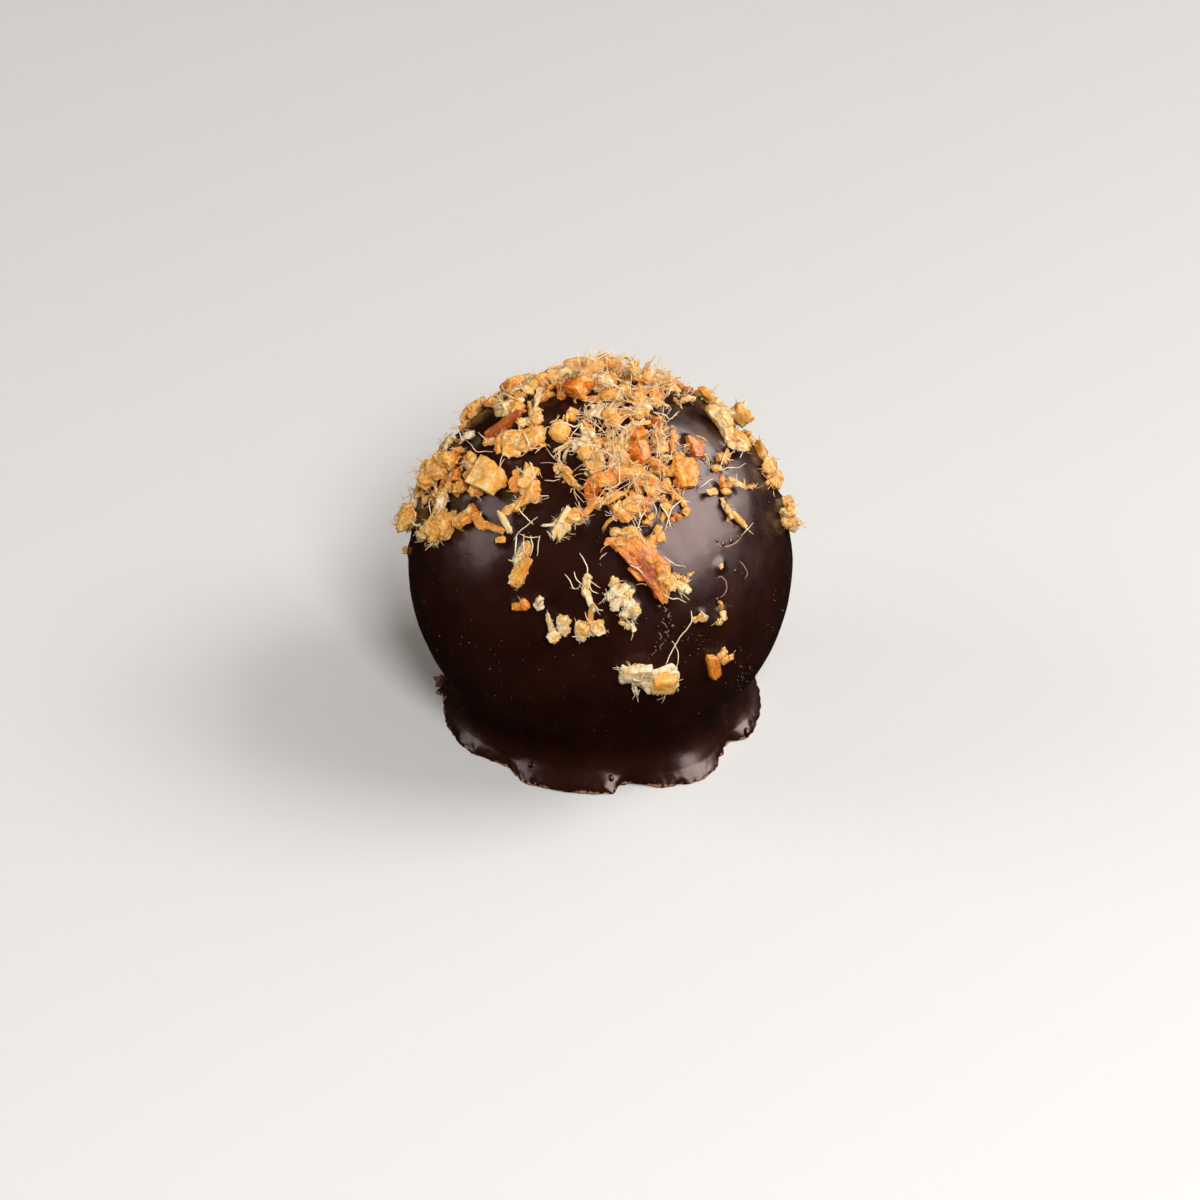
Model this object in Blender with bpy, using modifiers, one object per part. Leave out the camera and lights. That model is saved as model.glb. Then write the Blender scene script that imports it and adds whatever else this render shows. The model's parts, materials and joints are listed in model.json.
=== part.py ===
"""A chocolate truffle, enrobed in dark chocolate and strewn with chopped candied ginger.

The ball and the foot of set chocolate that it stands on are one solid. The larger ginger pieces and
the clumps of crumbs on the crown are solids of their own, each a small gap clear of the chocolate.
The origin is on the floor under the middle of the ball, +Z is up, and -Y is the front.
"""

import math
from collections import namedtuple

import bmesh
import bpy
from mathutils import Matrix, Vector, noise

MM = 0.001
GAP = 0.3 * MM

# Ball and foot
BALL_RADIUS = 15.0 * MM
BALL_CENTRE = Vector((0.0, 0.0, 13.25 * MM))
BALL_ROWS = 18
TURN_STEPS = 80
NECK_POLAR = math.radians(126)
NECK_ROWS = 8
NECK_PULL = 2.2 * MM
FOOT_RADIUS = 11.2 * MM
FOOT_WALL_TOP = 1.1 * MM
EDGE_HEIGHT = 0.4 * MM
EDGE_REACH = 0.25 * MM
BASE_RING_RADIUS = 6.0 * MM
WALL_SLOPE = Vector((-0.1, 1.0)).normalized()
MERGE_DISTANCE = 0.01 * MM

# A lobe of the foot runs between two azimuths in degrees, softens over so many degrees at each end and
# more the higher it is, and reaches so far beyond the foot's wall. The roll is the share of its reach
# that stays low, the rest is a steep skirt that rises to the neck.
Lobe = namedtuple("Lobe", "start end soft_start soft_end reach roll")
LOBES = (
    Lobe(-188, -140, 8, 22, 0.95 * MM, 0.2),
    Lobe(-123, -84, 13, 3, 1.15 * MM, 0.5),
    Lobe(-72, -44, 14, 10, 1.35 * MM, 0.0),
    Lobe(-60, -50, 5, 5, 0.45 * MM, 0.0),
    Lobe(-47, -35, 6, 5, 0.55 * MM, 0.0),
    Lobe(-26, 32, 6, 14, 1.15 * MM, 0.2),
    Lobe(58, 88, 14, 12, 1.30 * MM, 0.4),
    Lobe(106, 150, 12, 20, 0.90 * MM, 0.3),
    Lobe(166, 175, 3, 2, 0.90 * MM, 1.0),
)
SOFTER_WITH_HEIGHT = 6.0 / MM
SKIRT_LOW = 0.2 * MM
SKIRT_TOP = 4.9 * MM
ROLL_LOW = 0.6 * MM
ROLL_TOP = 1.7 * MM

# A clump or chunk sits at a polar angle from the top of the ball and at an azimuth, both in degrees.
# Its turn is measured from the downhill direction. Sizes follow the ball's surface.
Clump = namedtuple("Clump", "name polar azimuth turn length width height")
CLUMPS = (
    Clump("ginger_crown_top", 13.0, -6.0, -84, 8.0, 5.8, 2.1),
    Clump("ginger_crown_front", 32.4, -76.7, -13, 6.8, 6.0, 1.9),
    Clump("ginger_crown_back", 31.0, 92.0, 90, 10.0, 6.4, 2.0),
    Clump("ginger_back_left", 45.0, 146.0, 70, 8.0, 5.6, 1.7),
    Clump("ginger_back_right", 48.0, 36.0, 80, 6.6, 4.8, 1.6),
)
CLUMP_SEGMENTS = 26
CLUMP_RINGS = 12
CLUMP_LOBES = ((3, 0.07), (5, 0.06), (9, 0.04))
CLUMP_LUMP_SIZE = 1.3 * MM
CLUMP_LUMP_SHARE = 0.45
CLUMP_DOME = 1.6

Chunk = namedtuple("Chunk", "name polar azimuth turn length width height roundness colour")
CHUNKS = (
    Chunk("ginger_amber_slab", 58.5, -74.0, 35, 6.2, 2.7, 1.7, 0.25, "amber"),
    Chunk("ginger_cream_slab", 93.0, -75.5, 83, 4.6, 2.6, 1.5, 0.20, "cream"),
    Chunk("ginger_left_oval", 53.5, -177.0, 165, 4.3, 2.3, 1.8, 0.70, "tan"),
    Chunk("ginger_tan_flake", 27.0, -147.0, 150, 3.4, 2.5, 1.3, 0.35, "tan"),
    Chunk("ginger_yellow_cube", 41.5, -145.0, 100, 2.5, 2.3, 2.2, 0.20, "golden"),
    Chunk("ginger_low_chunk", 62.5, -154.5, 120, 3.3, 2.6, 1.9, 0.50, "tan"),
    Chunk("ginger_long_slab", 52.5, -137.0, 92, 4.3, 1.5, 1.2, 0.30, "amber"),
    Chunk("ginger_hanging_shred", 60.0, -117.0, 7, 3.6, 2.0, 1.2, 0.30, "tan"),
    Chunk("ginger_upright_bit", 38.0, -124.0, 26, 2.6, 1.7, 1.6, 0.40, "golden"),
    Chunk("ginger_cream_block", 27.0, 176.0, 150, 3.0, 1.8, 1.7, 0.35, "cream"),
    Chunk("ginger_amber_top", 6.8, 152.0, -105, 2.6, 2.1, 2.0, 0.35, "amber"),
    Chunk("ginger_round_nugget", 18.9, -128.0, 0, 1.7, 1.7, 1.5, 0.85, "cream"),
    Chunk("ginger_brown_oval", 36.5, -45.0, -12, 2.6, 2.0, 1.6, 0.75, "golden"),
    Chunk("ginger_rim_long", 39.0, 3.0, -39, 4.6, 1.9, 1.8, 0.60, "cream"),
    Chunk("ginger_rim_upper", 58.9, 1.4, -50, 2.3, 1.5, 1.5, 0.65, "golden"),
    Chunk("ginger_rim_lower", 70.5, -6.0, 4, 2.6, 1.7, 1.6, 0.65, "cream"),
    Chunk("ginger_knobbly", 67.5, -83.0, 55, 3.0, 2.4, 1.7, 0.55, "cream"),
    Chunk("ginger_pair_left", 76.5, -102.0, 0, 2.3, 1.8, 1.4, 0.55, "cream"),
    Chunk("ginger_pair_right", 76.0, -93.0, 92, 2.1, 1.8, 1.4, 0.60, "cream"),
    Chunk("ginger_fork_body", 45.5, -103.0, 130, 2.7, 1.9, 1.5, 0.40, "golden"),
    Chunk("ginger_left_curl", 73.5, -179.0, 125, 2.7, 2.3, 1.7, 0.60, "tan"),
    Chunk("ginger_back_slab", 58.0, 96.0, 60, 4.4, 2.1, 1.6, 0.30, "amber"),
    Chunk("ginger_back_nugget", 66.0, 68.0, 20, 2.4, 2.1, 1.7, 0.70, "cream"),
    Chunk("ginger_back_flake", 64.0, 128.0, 110, 3.4, 2.2, 1.3, 0.35, "tan"),
)
CHUNK_CUTS = 2
CHUNK_ROUGH_SIZE = 1.1 * MM
CHUNK_ROUGH_SHARE = 0.42
CHUNK_TAPER = 0.22
CHUNK_ROUND_GROWTH = 1.1
ROUGHNESS_SEED = 5

# Colour, metallic share, roughness
FINISHES = {
    "chocolate": ((0.028, 0.012, 0.008), 0.0, 0.30),
    "amber": ((0.52, 0.20, 0.045), 0.0, 0.45),
    "cream": ((0.78, 0.60, 0.34), 0.0, 0.70),
    "golden": ((0.68, 0.42, 0.14), 0.0, 0.60),
    "tan": ((0.58, 0.40, 0.21), 0.0, 0.70),
}


def clear_objects():
    """Remove whatever the file held."""
    for thing in list(bpy.data.objects):
        bpy.data.objects.remove(thing, do_unlink=True)


def finish(name):
    """Return the material of that name, made the first time it is asked for."""
    label = "truffle_" + name
    if label in bpy.data.materials:
        return bpy.data.materials[label]
    colour, metallic, roughness = FINISHES[name]
    material = bpy.data.materials.new(label)
    material.use_nodes = True
    surface = material.node_tree.nodes["Principled BSDF"]
    surface.inputs["Base Color"].default_value = (*colour, 1.0)
    surface.inputs["Metallic"].default_value = metallic
    surface.inputs["Roughness"].default_value = roughness
    material.diffuse_color = (*colour, 1.0)
    return material


def add_part(name, mesh, finish_name, collection):
    """Put a mesh into the collection as a smooth object with its own material."""
    mesh.name = name
    mesh.shade_smooth()
    mesh.materials.clear()
    mesh.materials.append(finish(finish_name))
    part = bpy.data.objects.new(name, mesh)
    collection.objects.link(part)
    return part


def smooth_step(low, high, value):
    """Rise from 0 at low to 1 at high, level at both ends."""
    share = min(max((value - low) / (high - low), 0.0), 1.0)
    return share * share * (3.0 - 2.0 * share)


def bezier(start, pull, push, end, share):
    """Point at a share of a cubic curve between two ends."""
    rest = 1.0 - share
    return (
        start * rest**3
        + pull * (3 * rest**2 * share)
        + push * (3 * rest * share**2)
        + end * share**3
    )


def outline_points():
    """Half outline of the truffle as (radius, height), from the pole down the outside to the base."""
    points = []
    for row in range(BALL_ROWS + 1):
        polar = NECK_POLAR * row / BALL_ROWS
        rim = BALL_RADIUS * math.sin(polar)
        points.append(Vector((rim, BALL_CENTRE.z + BALL_RADIUS * math.cos(polar))))
    neck = points[-1]
    downhill = Vector((math.cos(NECK_POLAR), -math.sin(NECK_POLAR)))
    wall = Vector((FOOT_RADIUS, FOOT_WALL_TOP))
    for row in range(1, NECK_ROWS + 1):
        share = row / NECK_ROWS
        pull = neck + downhill * NECK_PULL
        push = wall + WALL_SLOPE * NECK_PULL / 2
        points.append(bezier(neck, pull, push, wall, share))
    points.append(Vector((FOOT_RADIUS + EDGE_REACH, EDGE_HEIGHT)))
    points.append(Vector((FOOT_RADIUS + EDGE_REACH, 0.0)))
    points.append(Vector((BASE_RING_RADIUS, 0.0)))
    points.append(Vector((0.0, 0.0)))
    return points


def foot_reach(azimuth, height):
    """How far the foot stands out beyond its wall at an azimuth in degrees and a height."""
    skirt = min(max((SKIRT_TOP - height) / (SKIRT_TOP - SKIRT_LOW), 0.0), 1.0)
    low = 1.0 - smooth_step(ROLL_LOW, ROLL_TOP, height)
    softer = SOFTER_WITH_HEIGHT * height
    reach = 0.0
    for lobe in LOBES:
        middle = (lobe.start + lobe.end) / 2
        angle = (azimuth - middle + 180) % 360 - 180 + middle
        soft_start = lobe.soft_start / 2 + softer
        soft_end = lobe.soft_end / 2 + softer
        rise = smooth_step(lobe.start - soft_start, lobe.start + soft_start, angle)
        fall = smooth_step(lobe.end - soft_end, lobe.end + soft_end, angle)
        fade = lobe.roll * low + (1.0 - lobe.roll) * skirt
        reach += lobe.reach * rise * (1.0 - fall) * fade
    return reach


def turned_mesh():
    """Turn the outline about the upright axis into a closed mesh."""
    outline = bpy.data.meshes.new("truffle_outline")
    points = [(p.x, 0.0, p.y) for p in outline_points()]
    outline.from_pydata(points, [(i, i + 1) for i in range(len(points) - 1)], [])
    lathe = bpy.data.objects.new("truffle_outline", outline)
    bpy.context.scene.collection.objects.link(lathe)
    screw = lathe.modifiers.new("turn", "SCREW")
    screw.axis = "Z"
    screw.angle = math.tau
    screw.steps = TURN_STEPS
    screw.render_steps = TURN_STEPS
    screw.use_merge_vertices = True
    screw.merge_threshold = MERGE_DISTANCE
    seen = lathe.evaluated_get(bpy.context.evaluated_depsgraph_get())
    mesh = bpy.data.meshes.new_from_object(seen)
    bpy.data.objects.remove(lathe, do_unlink=True)
    return mesh


def make_truffle(collection):
    """The ball with its foot: the turned form, with the foot's lobes pushed out."""
    mesh = turned_mesh()
    for vertex in mesh.vertices:
        radius = math.hypot(vertex.co.x, vertex.co.y)
        if radius < BASE_RING_RADIUS + GAP or vertex.co.z > BALL_CENTRE.z / 2:
            continue
        azimuth = math.degrees(math.atan2(vertex.co.y, vertex.co.x))
        stretch = 1.0 + foot_reach(azimuth, vertex.co.z) / radius
        vertex.co.x *= stretch
        vertex.co.y *= stretch
    return add_part("truffle", mesh, "chocolate", collection)


def seat_turn(piece):
    """Rotation whose X axis runs along a seated piece and whose Z axis points out of the ball."""
    return (
        Matrix.Rotation(math.radians(piece.azimuth), 3, "Z")
        @ Matrix.Rotation(math.radians(piece.polar), 3, "Y")
        @ Matrix.Rotation(math.radians(piece.turn), 3, "Z")
    )


def on_ball(seat, along, across, height):
    """Point so far along and across the ball from the seat, at a height over the chocolate."""
    angle = math.hypot(along, across) / BALL_RADIUS
    heading = math.atan2(across, along)
    flat = math.sin(angle)
    direction = Vector((flat * math.cos(heading), flat * math.sin(heading), math.cos(angle)))
    return BALL_CENTRE + seat @ direction * (BALL_RADIUS + height)


def clump_outline(heading, offset):
    """Uneven share of a clump's reach in one direction from its middle."""
    share = 1.0
    for count, depth in CLUMP_LOBES:
        share += depth * math.sin(count * heading + offset * count)
    return share


def make_clump(clump, offset, collection):
    """A clump of crumbs: a low mound on the ball with an uneven outline and a lumpy top."""
    seat = seat_turn(clump)
    form = bmesh.new()
    bmesh.ops.create_uvsphere(form, u_segments=CLUMP_SEGMENTS, v_segments=CLUMP_RINGS, radius=1.0)
    for vertex in form.verts:
        heading = math.atan2(vertex.co.y, vertex.co.x)
        reach = math.hypot(vertex.co.x, vertex.co.y) * clump_outline(heading, offset)
        along = reach * math.cos(heading) * clump.length / 2 * MM
        across = reach * math.sin(heading) * clump.width / 2 * MM
        height = GAP
        if vertex.co.z > 0:
            spot = Vector((along, across, offset * MM)) / CLUMP_LUMP_SIZE
            lump = 1.0 - CLUMP_LUMP_SHARE * noise.voronoi(spot)[0][0]
            height += clump.height * MM * min(1.0, CLUMP_DOME * vertex.co.z) * lump
        vertex.co = on_ball(seat, along, across, height)
    mesh = bpy.data.meshes.new(clump.name)
    form.to_mesh(mesh)
    form.free()
    return add_part(clump.name, mesh, "golden", collection)


def make_chunk(chunk, offset, collection):
    """One chopped piece of ginger: a roughened block, rounded as stated, bent to the ball."""
    seat = seat_turn(chunk)
    form = bmesh.new()
    bmesh.ops.create_cube(form, size=2.0)
    bmesh.ops.subdivide_edges(form, edges=form.edges[:], cuts=CHUNK_CUTS, use_grid_fill=True)
    half_size = Vector((chunk.length, chunk.width, chunk.height)) * MM / 2
    for vertex in form.verts:
        corner = vertex.co.copy()
        place = corner.lerp(corner.normalized() * CHUNK_ROUND_GROWTH, chunk.roundness) * half_size
        place.y *= 1.0 + CHUNK_TAPER * math.sin(2 * offset) * corner.x
        place.z *= 1.0 + CHUNK_TAPER * math.cos(3 * offset) * corner.x
        spot = place / CHUNK_ROUGH_SIZE + Vector((offset, 0, 0))
        place += noise.noise_vector(spot) * half_size.z * CHUNK_ROUGH_SHARE
        height = GAP + max(place.z + half_size.z, 0.0)
        vertex.co = on_ball(seat, place.x, place.y, height)
    mesh = bpy.data.meshes.new(chunk.name)
    form.to_mesh(mesh)
    form.free()
    return add_part(chunk.name, mesh, chunk.colour, collection)


def main():
    """Build the truffle and its ginger in a collection of their own."""
    clear_objects()
    noise.seed_set(ROUGHNESS_SEED)
    collection = bpy.data.collections.new("chocolate_truffle")
    bpy.context.scene.collection.children.link(collection)
    make_truffle(collection)
    for offset, clump in enumerate(CLUMPS):
        make_clump(clump, offset, collection)
    for offset, chunk in enumerate(CHUNKS):
        make_chunk(chunk, offset, collection)


main()
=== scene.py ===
"""Looks of a chocolate truffle: satin dark chocolate on a thin uneven foot, and chopped candied ginger.

The coating is a turned form that a node tree pushes out into the foot's lobes and draws up round the
ginger. The larger ginger pieces are torn blocks seated on the ball, the crumbs are smaller ones, and
node trees strew the small crumbs, the fibres and the dust.
"""

import itertools
import json
import math
import random
from collections import namedtuple

import bmesh
import bpy
import numpy as np
from bpy.props import FloatProperty, FloatVectorProperty, IntProperty, PointerProperty
from mathutils import Euler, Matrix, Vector
from mathutils.bvhtree import BVHTree

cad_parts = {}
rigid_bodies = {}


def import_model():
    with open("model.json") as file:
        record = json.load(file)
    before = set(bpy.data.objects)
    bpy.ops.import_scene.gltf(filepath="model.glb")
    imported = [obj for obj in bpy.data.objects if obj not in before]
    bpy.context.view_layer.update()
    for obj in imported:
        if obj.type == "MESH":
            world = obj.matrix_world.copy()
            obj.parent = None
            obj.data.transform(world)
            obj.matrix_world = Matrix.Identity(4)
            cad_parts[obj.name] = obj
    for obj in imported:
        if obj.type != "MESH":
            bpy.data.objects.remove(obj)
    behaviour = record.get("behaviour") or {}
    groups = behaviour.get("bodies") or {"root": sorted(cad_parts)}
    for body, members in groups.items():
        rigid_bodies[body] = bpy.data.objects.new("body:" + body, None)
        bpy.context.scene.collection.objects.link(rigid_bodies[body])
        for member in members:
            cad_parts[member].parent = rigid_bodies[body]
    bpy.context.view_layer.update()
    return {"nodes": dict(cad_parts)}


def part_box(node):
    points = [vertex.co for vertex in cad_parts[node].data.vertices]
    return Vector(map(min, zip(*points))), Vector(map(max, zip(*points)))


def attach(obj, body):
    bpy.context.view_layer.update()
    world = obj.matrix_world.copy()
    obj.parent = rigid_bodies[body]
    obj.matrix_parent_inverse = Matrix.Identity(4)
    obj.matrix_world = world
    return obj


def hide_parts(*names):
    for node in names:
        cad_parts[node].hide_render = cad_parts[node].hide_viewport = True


bl_info = {
    "name": "Chocolate truffle with candied ginger",
    "version": (1, 0, 0),
    "blender": (4, 5, 0),
    "location": "View3D > Sidebar > Truffle",
    "description": "Builds the coating, the ginger and the stage of an enrobed truffle",
    "category": "Add Mesh",
}

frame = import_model()

MM = 0.001
FLOAT = "NodeSocketFloat"
GEOMETRY = "NodeSocketGeometry"

# The ball, read from the frame: its crown is the truffle's top, its width the truffle's width
TRUFFLE_LOW, TRUFFLE_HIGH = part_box("truffle")
BALL_RADIUS = (TRUFFLE_HIGH[0] - TRUFFLE_LOW[0]) / 2
BALL_CENTRE = np.array((0.0, 0.0, TRUFFLE_HIGH[2] - BALL_RADIUS))

# The photograph: its frame in pixels, where the ball's middle is seen, and its scale there
PHOTO_SIDE = 1200
PHOTO_BALL = (600.5, 563.0)
PHOTO_SCALE = 12.8 / MM
CAMERA_TILT = math.radians(33.5)
CAMERA_DISTANCE = 0.63
SENSOR_WIDTH = 36.0
VIEW_RIGHT = np.array((1.0, 0.0, 0.0))
VIEW_UP = np.array((0.0, math.sin(CAMERA_TILT), math.cos(CAMERA_TILT)))
VIEW_OUT = np.array((0.0, -math.cos(CAMERA_TILT), math.sin(CAMERA_TILT)))

# Outline of the coating
NECK_POLAR = math.radians(126)
NECK_PULL = 2.2 * MM
FOOT_RADIUS = 11.2 * MM
FOOT_WALL_TOP = 1.1 * MM
EDGE_HEIGHT = 0.4 * MM
EDGE_REACH = 0.25 * MM
BASE_RING_RADIUS = 6.0 * MM
EDGE_INSET = 0.12 * MM
EDGE_BULGE = 0.06 * MM
COLLAR_WIDTH = 0.5 * MM

# Rows of the turned coating over the ball, the neck, the foot's wall and its edge, and columns round it
BALL_ROWS, NECK_ROWS, WALL_ROWS, EDGE_ROWS = 172, 30, 6, 6
COATING_COLUMNS = 440

# A lobe of the foot runs between two azimuths in degrees, softens over so many degrees at each end and
# more the higher it is, and reaches so far beyond the foot's wall. The roll is the share of its reach
# that stays low, the rest is a steep skirt that rises to the neck.
Lobe = namedtuple("Lobe", "start end soft_start soft_end reach roll")
LOBES = (
    Lobe(-188, -140, 8, 22, 0.95 * MM, 0.2),
    Lobe(-123, -84, 13, 3, 1.15 * MM, 0.5),
    Lobe(-72, -44, 14, 10, 1.35 * MM, 0.0),
    Lobe(-60, -50, 5, 5, 0.45 * MM, 0.0),
    Lobe(-47, -35, 6, 5, 0.55 * MM, 0.0),
    Lobe(-26, 32, 6, 14, 1.15 * MM, 0.2),
    Lobe(58, 88, 14, 12, 1.30 * MM, 0.4),
    Lobe(106, 150, 12, 20, 0.90 * MM, 0.3),
    Lobe(166, 175, 3, 2, 0.90 * MM, 1.0),
)
SOFTER_WITH_HEIGHT = 6.0 / MM
SKIRT_LOW = 0.2 * MM
SKIRT_TOP = 4.9 * MM
ROLL_LOW = 0.6 * MM
ROLL_TOP = 1.7 * MM

# A larger piece sits at a polar angle from the top of the ball and at an azimuth, both in degrees, and
# its turn is measured from the downhill direction. Its sizes are in millimetres. Tone runs from 0,
# near white, to 1, dark amber. Lean is how much the tone changes across the piece, bend how much it
# drops towards both ends. Fuzz is how torn it is, and parts is how many lumps have grown together in it.
# Point is how far its far end narrows to a point at one side.
PIECE_FIELDS = "node polar azimuth turn length width height roundness tone lean bend fuzz parts point"
Piece = namedtuple("Piece", PIECE_FIELDS, defaults=(0.0,))
PIECES = (
    Piece("ginger_amber_slab", 58.2, -74.1, 35, 6.4, 2.6, 1.4, 0.15, 0.84, -0.20, 0.46, 0.70, 1, -0.75),
    Piece("ginger_cream_slab", 93.0, -76.0, 83, 4.8, 3.1, 1.6, 0.25, 0.06, 0.02, 0.00, 0.95, 2),
    Piece("ginger_left_oval", 53.5, -177.0, 165, 4.4, 2.5, 1.9, 0.60, 0.46, 0.10, 0.10, 0.85, 3),
    Piece("ginger_tan_flake", 27.0, -147.0, 150, 3.6, 2.8, 1.4, 0.25, 0.36, 0.05, 0.05, 0.95, 3),
    Piece("ginger_yellow_cube", 41.5, -145.0, 100, 2.4, 2.3, 2.0, 0.08, 0.25, 0.06, 0.00, 0.08, 1),
    Piece("ginger_low_chunk", 62.5, -154.5, 120, 3.4, 2.8, 2.0, 0.45, 0.38, 0.05, 0.10, 1.00, 4),
    Piece("ginger_long_slab", 52.5, -137.0, 92, 4.6, 1.5, 1.1, 0.20, 0.52, 0.12, 0.20, 0.70, 2),
    Piece("ginger_hanging_shred", 60.0, -117.0, 7, 3.7, 1.9, 1.1, 0.20, 0.25, 0.15, 0.00, 0.95, 2),
    Piece("ginger_upright_bit", 38.0, -124.0, 26, 2.8, 1.7, 1.6, 0.35, 0.40, 0.08, 0.10, 0.80, 2),
    Piece("ginger_cream_block", 27.0, 176.0, 150, 3.0, 1.8, 1.6, 0.25, 0.26, 0.15, 0.00, 0.60, 2),
    Piece("ginger_amber_top", 6.8, 152.0, -105, 2.8, 2.2, 2.0, 0.25, 0.74, 0.20, 0.10, 0.45, 2),
    Piece("ginger_round_nugget", 18.9, -128.0, 0, 1.7, 1.7, 1.5, 0.75, 0.27, 0.05, 0.00, 0.30, 1),
    Piece("ginger_brown_oval", 36.5, -45.0, -12, 2.6, 2.0, 1.6, 0.70, 0.52, 0.08, 0.00, 0.55, 1),
    Piece("ginger_rim_long", 39.0, 3.0, -39, 4.7, 1.9, 1.8, 0.50, 0.36, 0.10, 0.00, 0.80, 4),
    Piece("ginger_rim_upper", 58.9, 1.4, -50, 2.4, 1.6, 1.5, 0.60, 0.40, 0.10, 0.00, 0.60, 2),
    Piece("ginger_rim_lower", 70.5, -6.0, 4, 2.7, 1.8, 1.6, 0.60, 0.28, 0.10, 0.00, 0.80, 3),
    Piece("ginger_knobbly", 67.5, -83.0, 55, 3.0, 2.4, 1.7, 0.30, 0.08, 0.10, 0.00, 0.95, 7),
    Piece("ginger_pair_left", 76.5, -102.0, 0, 2.3, 1.8, 1.4, 0.40, 0.12, 0.10, 0.00, 0.85, 3),
    Piece("ginger_pair_right", 76.0, -93.0, 92, 2.3, 1.8, 1.4, 0.45, 0.12, 0.10, 0.00, 0.75, 3),
    Piece("ginger_fork_body", 45.5, -103.0, 130, 2.8, 1.8, 1.4, 0.25, 0.33, 0.10, 0.05, 0.85, 2),
    Piece("ginger_left_curl", 73.5, -179.0, 125, 2.8, 2.3, 1.7, 0.55, 0.38, 0.05, 0.00, 1.00, 5),
    Piece("ginger_back_slab", 58.0, 96.0, 60, 4.4, 2.1, 1.5, 0.15, 0.80, -0.20, 0.30, 0.45, 1),
    Piece("ginger_back_nugget", 66.0, 68.0, 20, 2.4, 2.1, 1.7, 0.60, 0.30, 0.05, 0.00, 0.60, 3),
    Piece("ginger_back_flake", 64.0, 128.0, 110, 3.5, 2.2, 1.3, 0.30, 0.38, 0.05, 0.05, 0.90, 3),
)
# Pieces of a higher tone than this are clear.
CLEAR_TONE = 0.5
# A pointed piece narrows from this share of its length on, counted from its middle.
POINT_START = 0.22
# A larger piece's middle lies this share of its height over the ball.
SEAT_RISE = 0.38

# Cuts on each side of a lump: a larger piece in one part or in several, a crumb in front, on the far side
# and strewn, a grain, a flake of the foot and a bead
WHOLE_CUTS, JOINED_CUTS, CRUMB_CUTS, BACK_CUTS, SMALL_CUTS = 34, 17, 7, 5, 3
GRAIN_CUTS, FLAKE_CUTS, BEAD_CUTS = 1, 8, 5

# The first seed of each kind of lump, and the steps from one lump to the next
PIECE_SEED, CRUMB_SEED, BACK_SEED, SMALL_SEED, GRAIN_SEED, FLAKE_SEED = 100, 400, 900, 40, 640, 2000
PIECE_STEP, CRUMB_STEP = 20, 40
# Seeds of the draws for the far side's crumbs and for the shapes to be strewn
BACK_DRAWS, FIBRE_DRAWS, SMALL_DRAWS, DUST_DRAWS = 11, 3, 5, 15

CROWN_NODES = ("ginger_crown_top", "ginger_crown_front")
BACK_NODES = ("ginger_crown_back", "ginger_back_left", "ginger_back_right")

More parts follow.
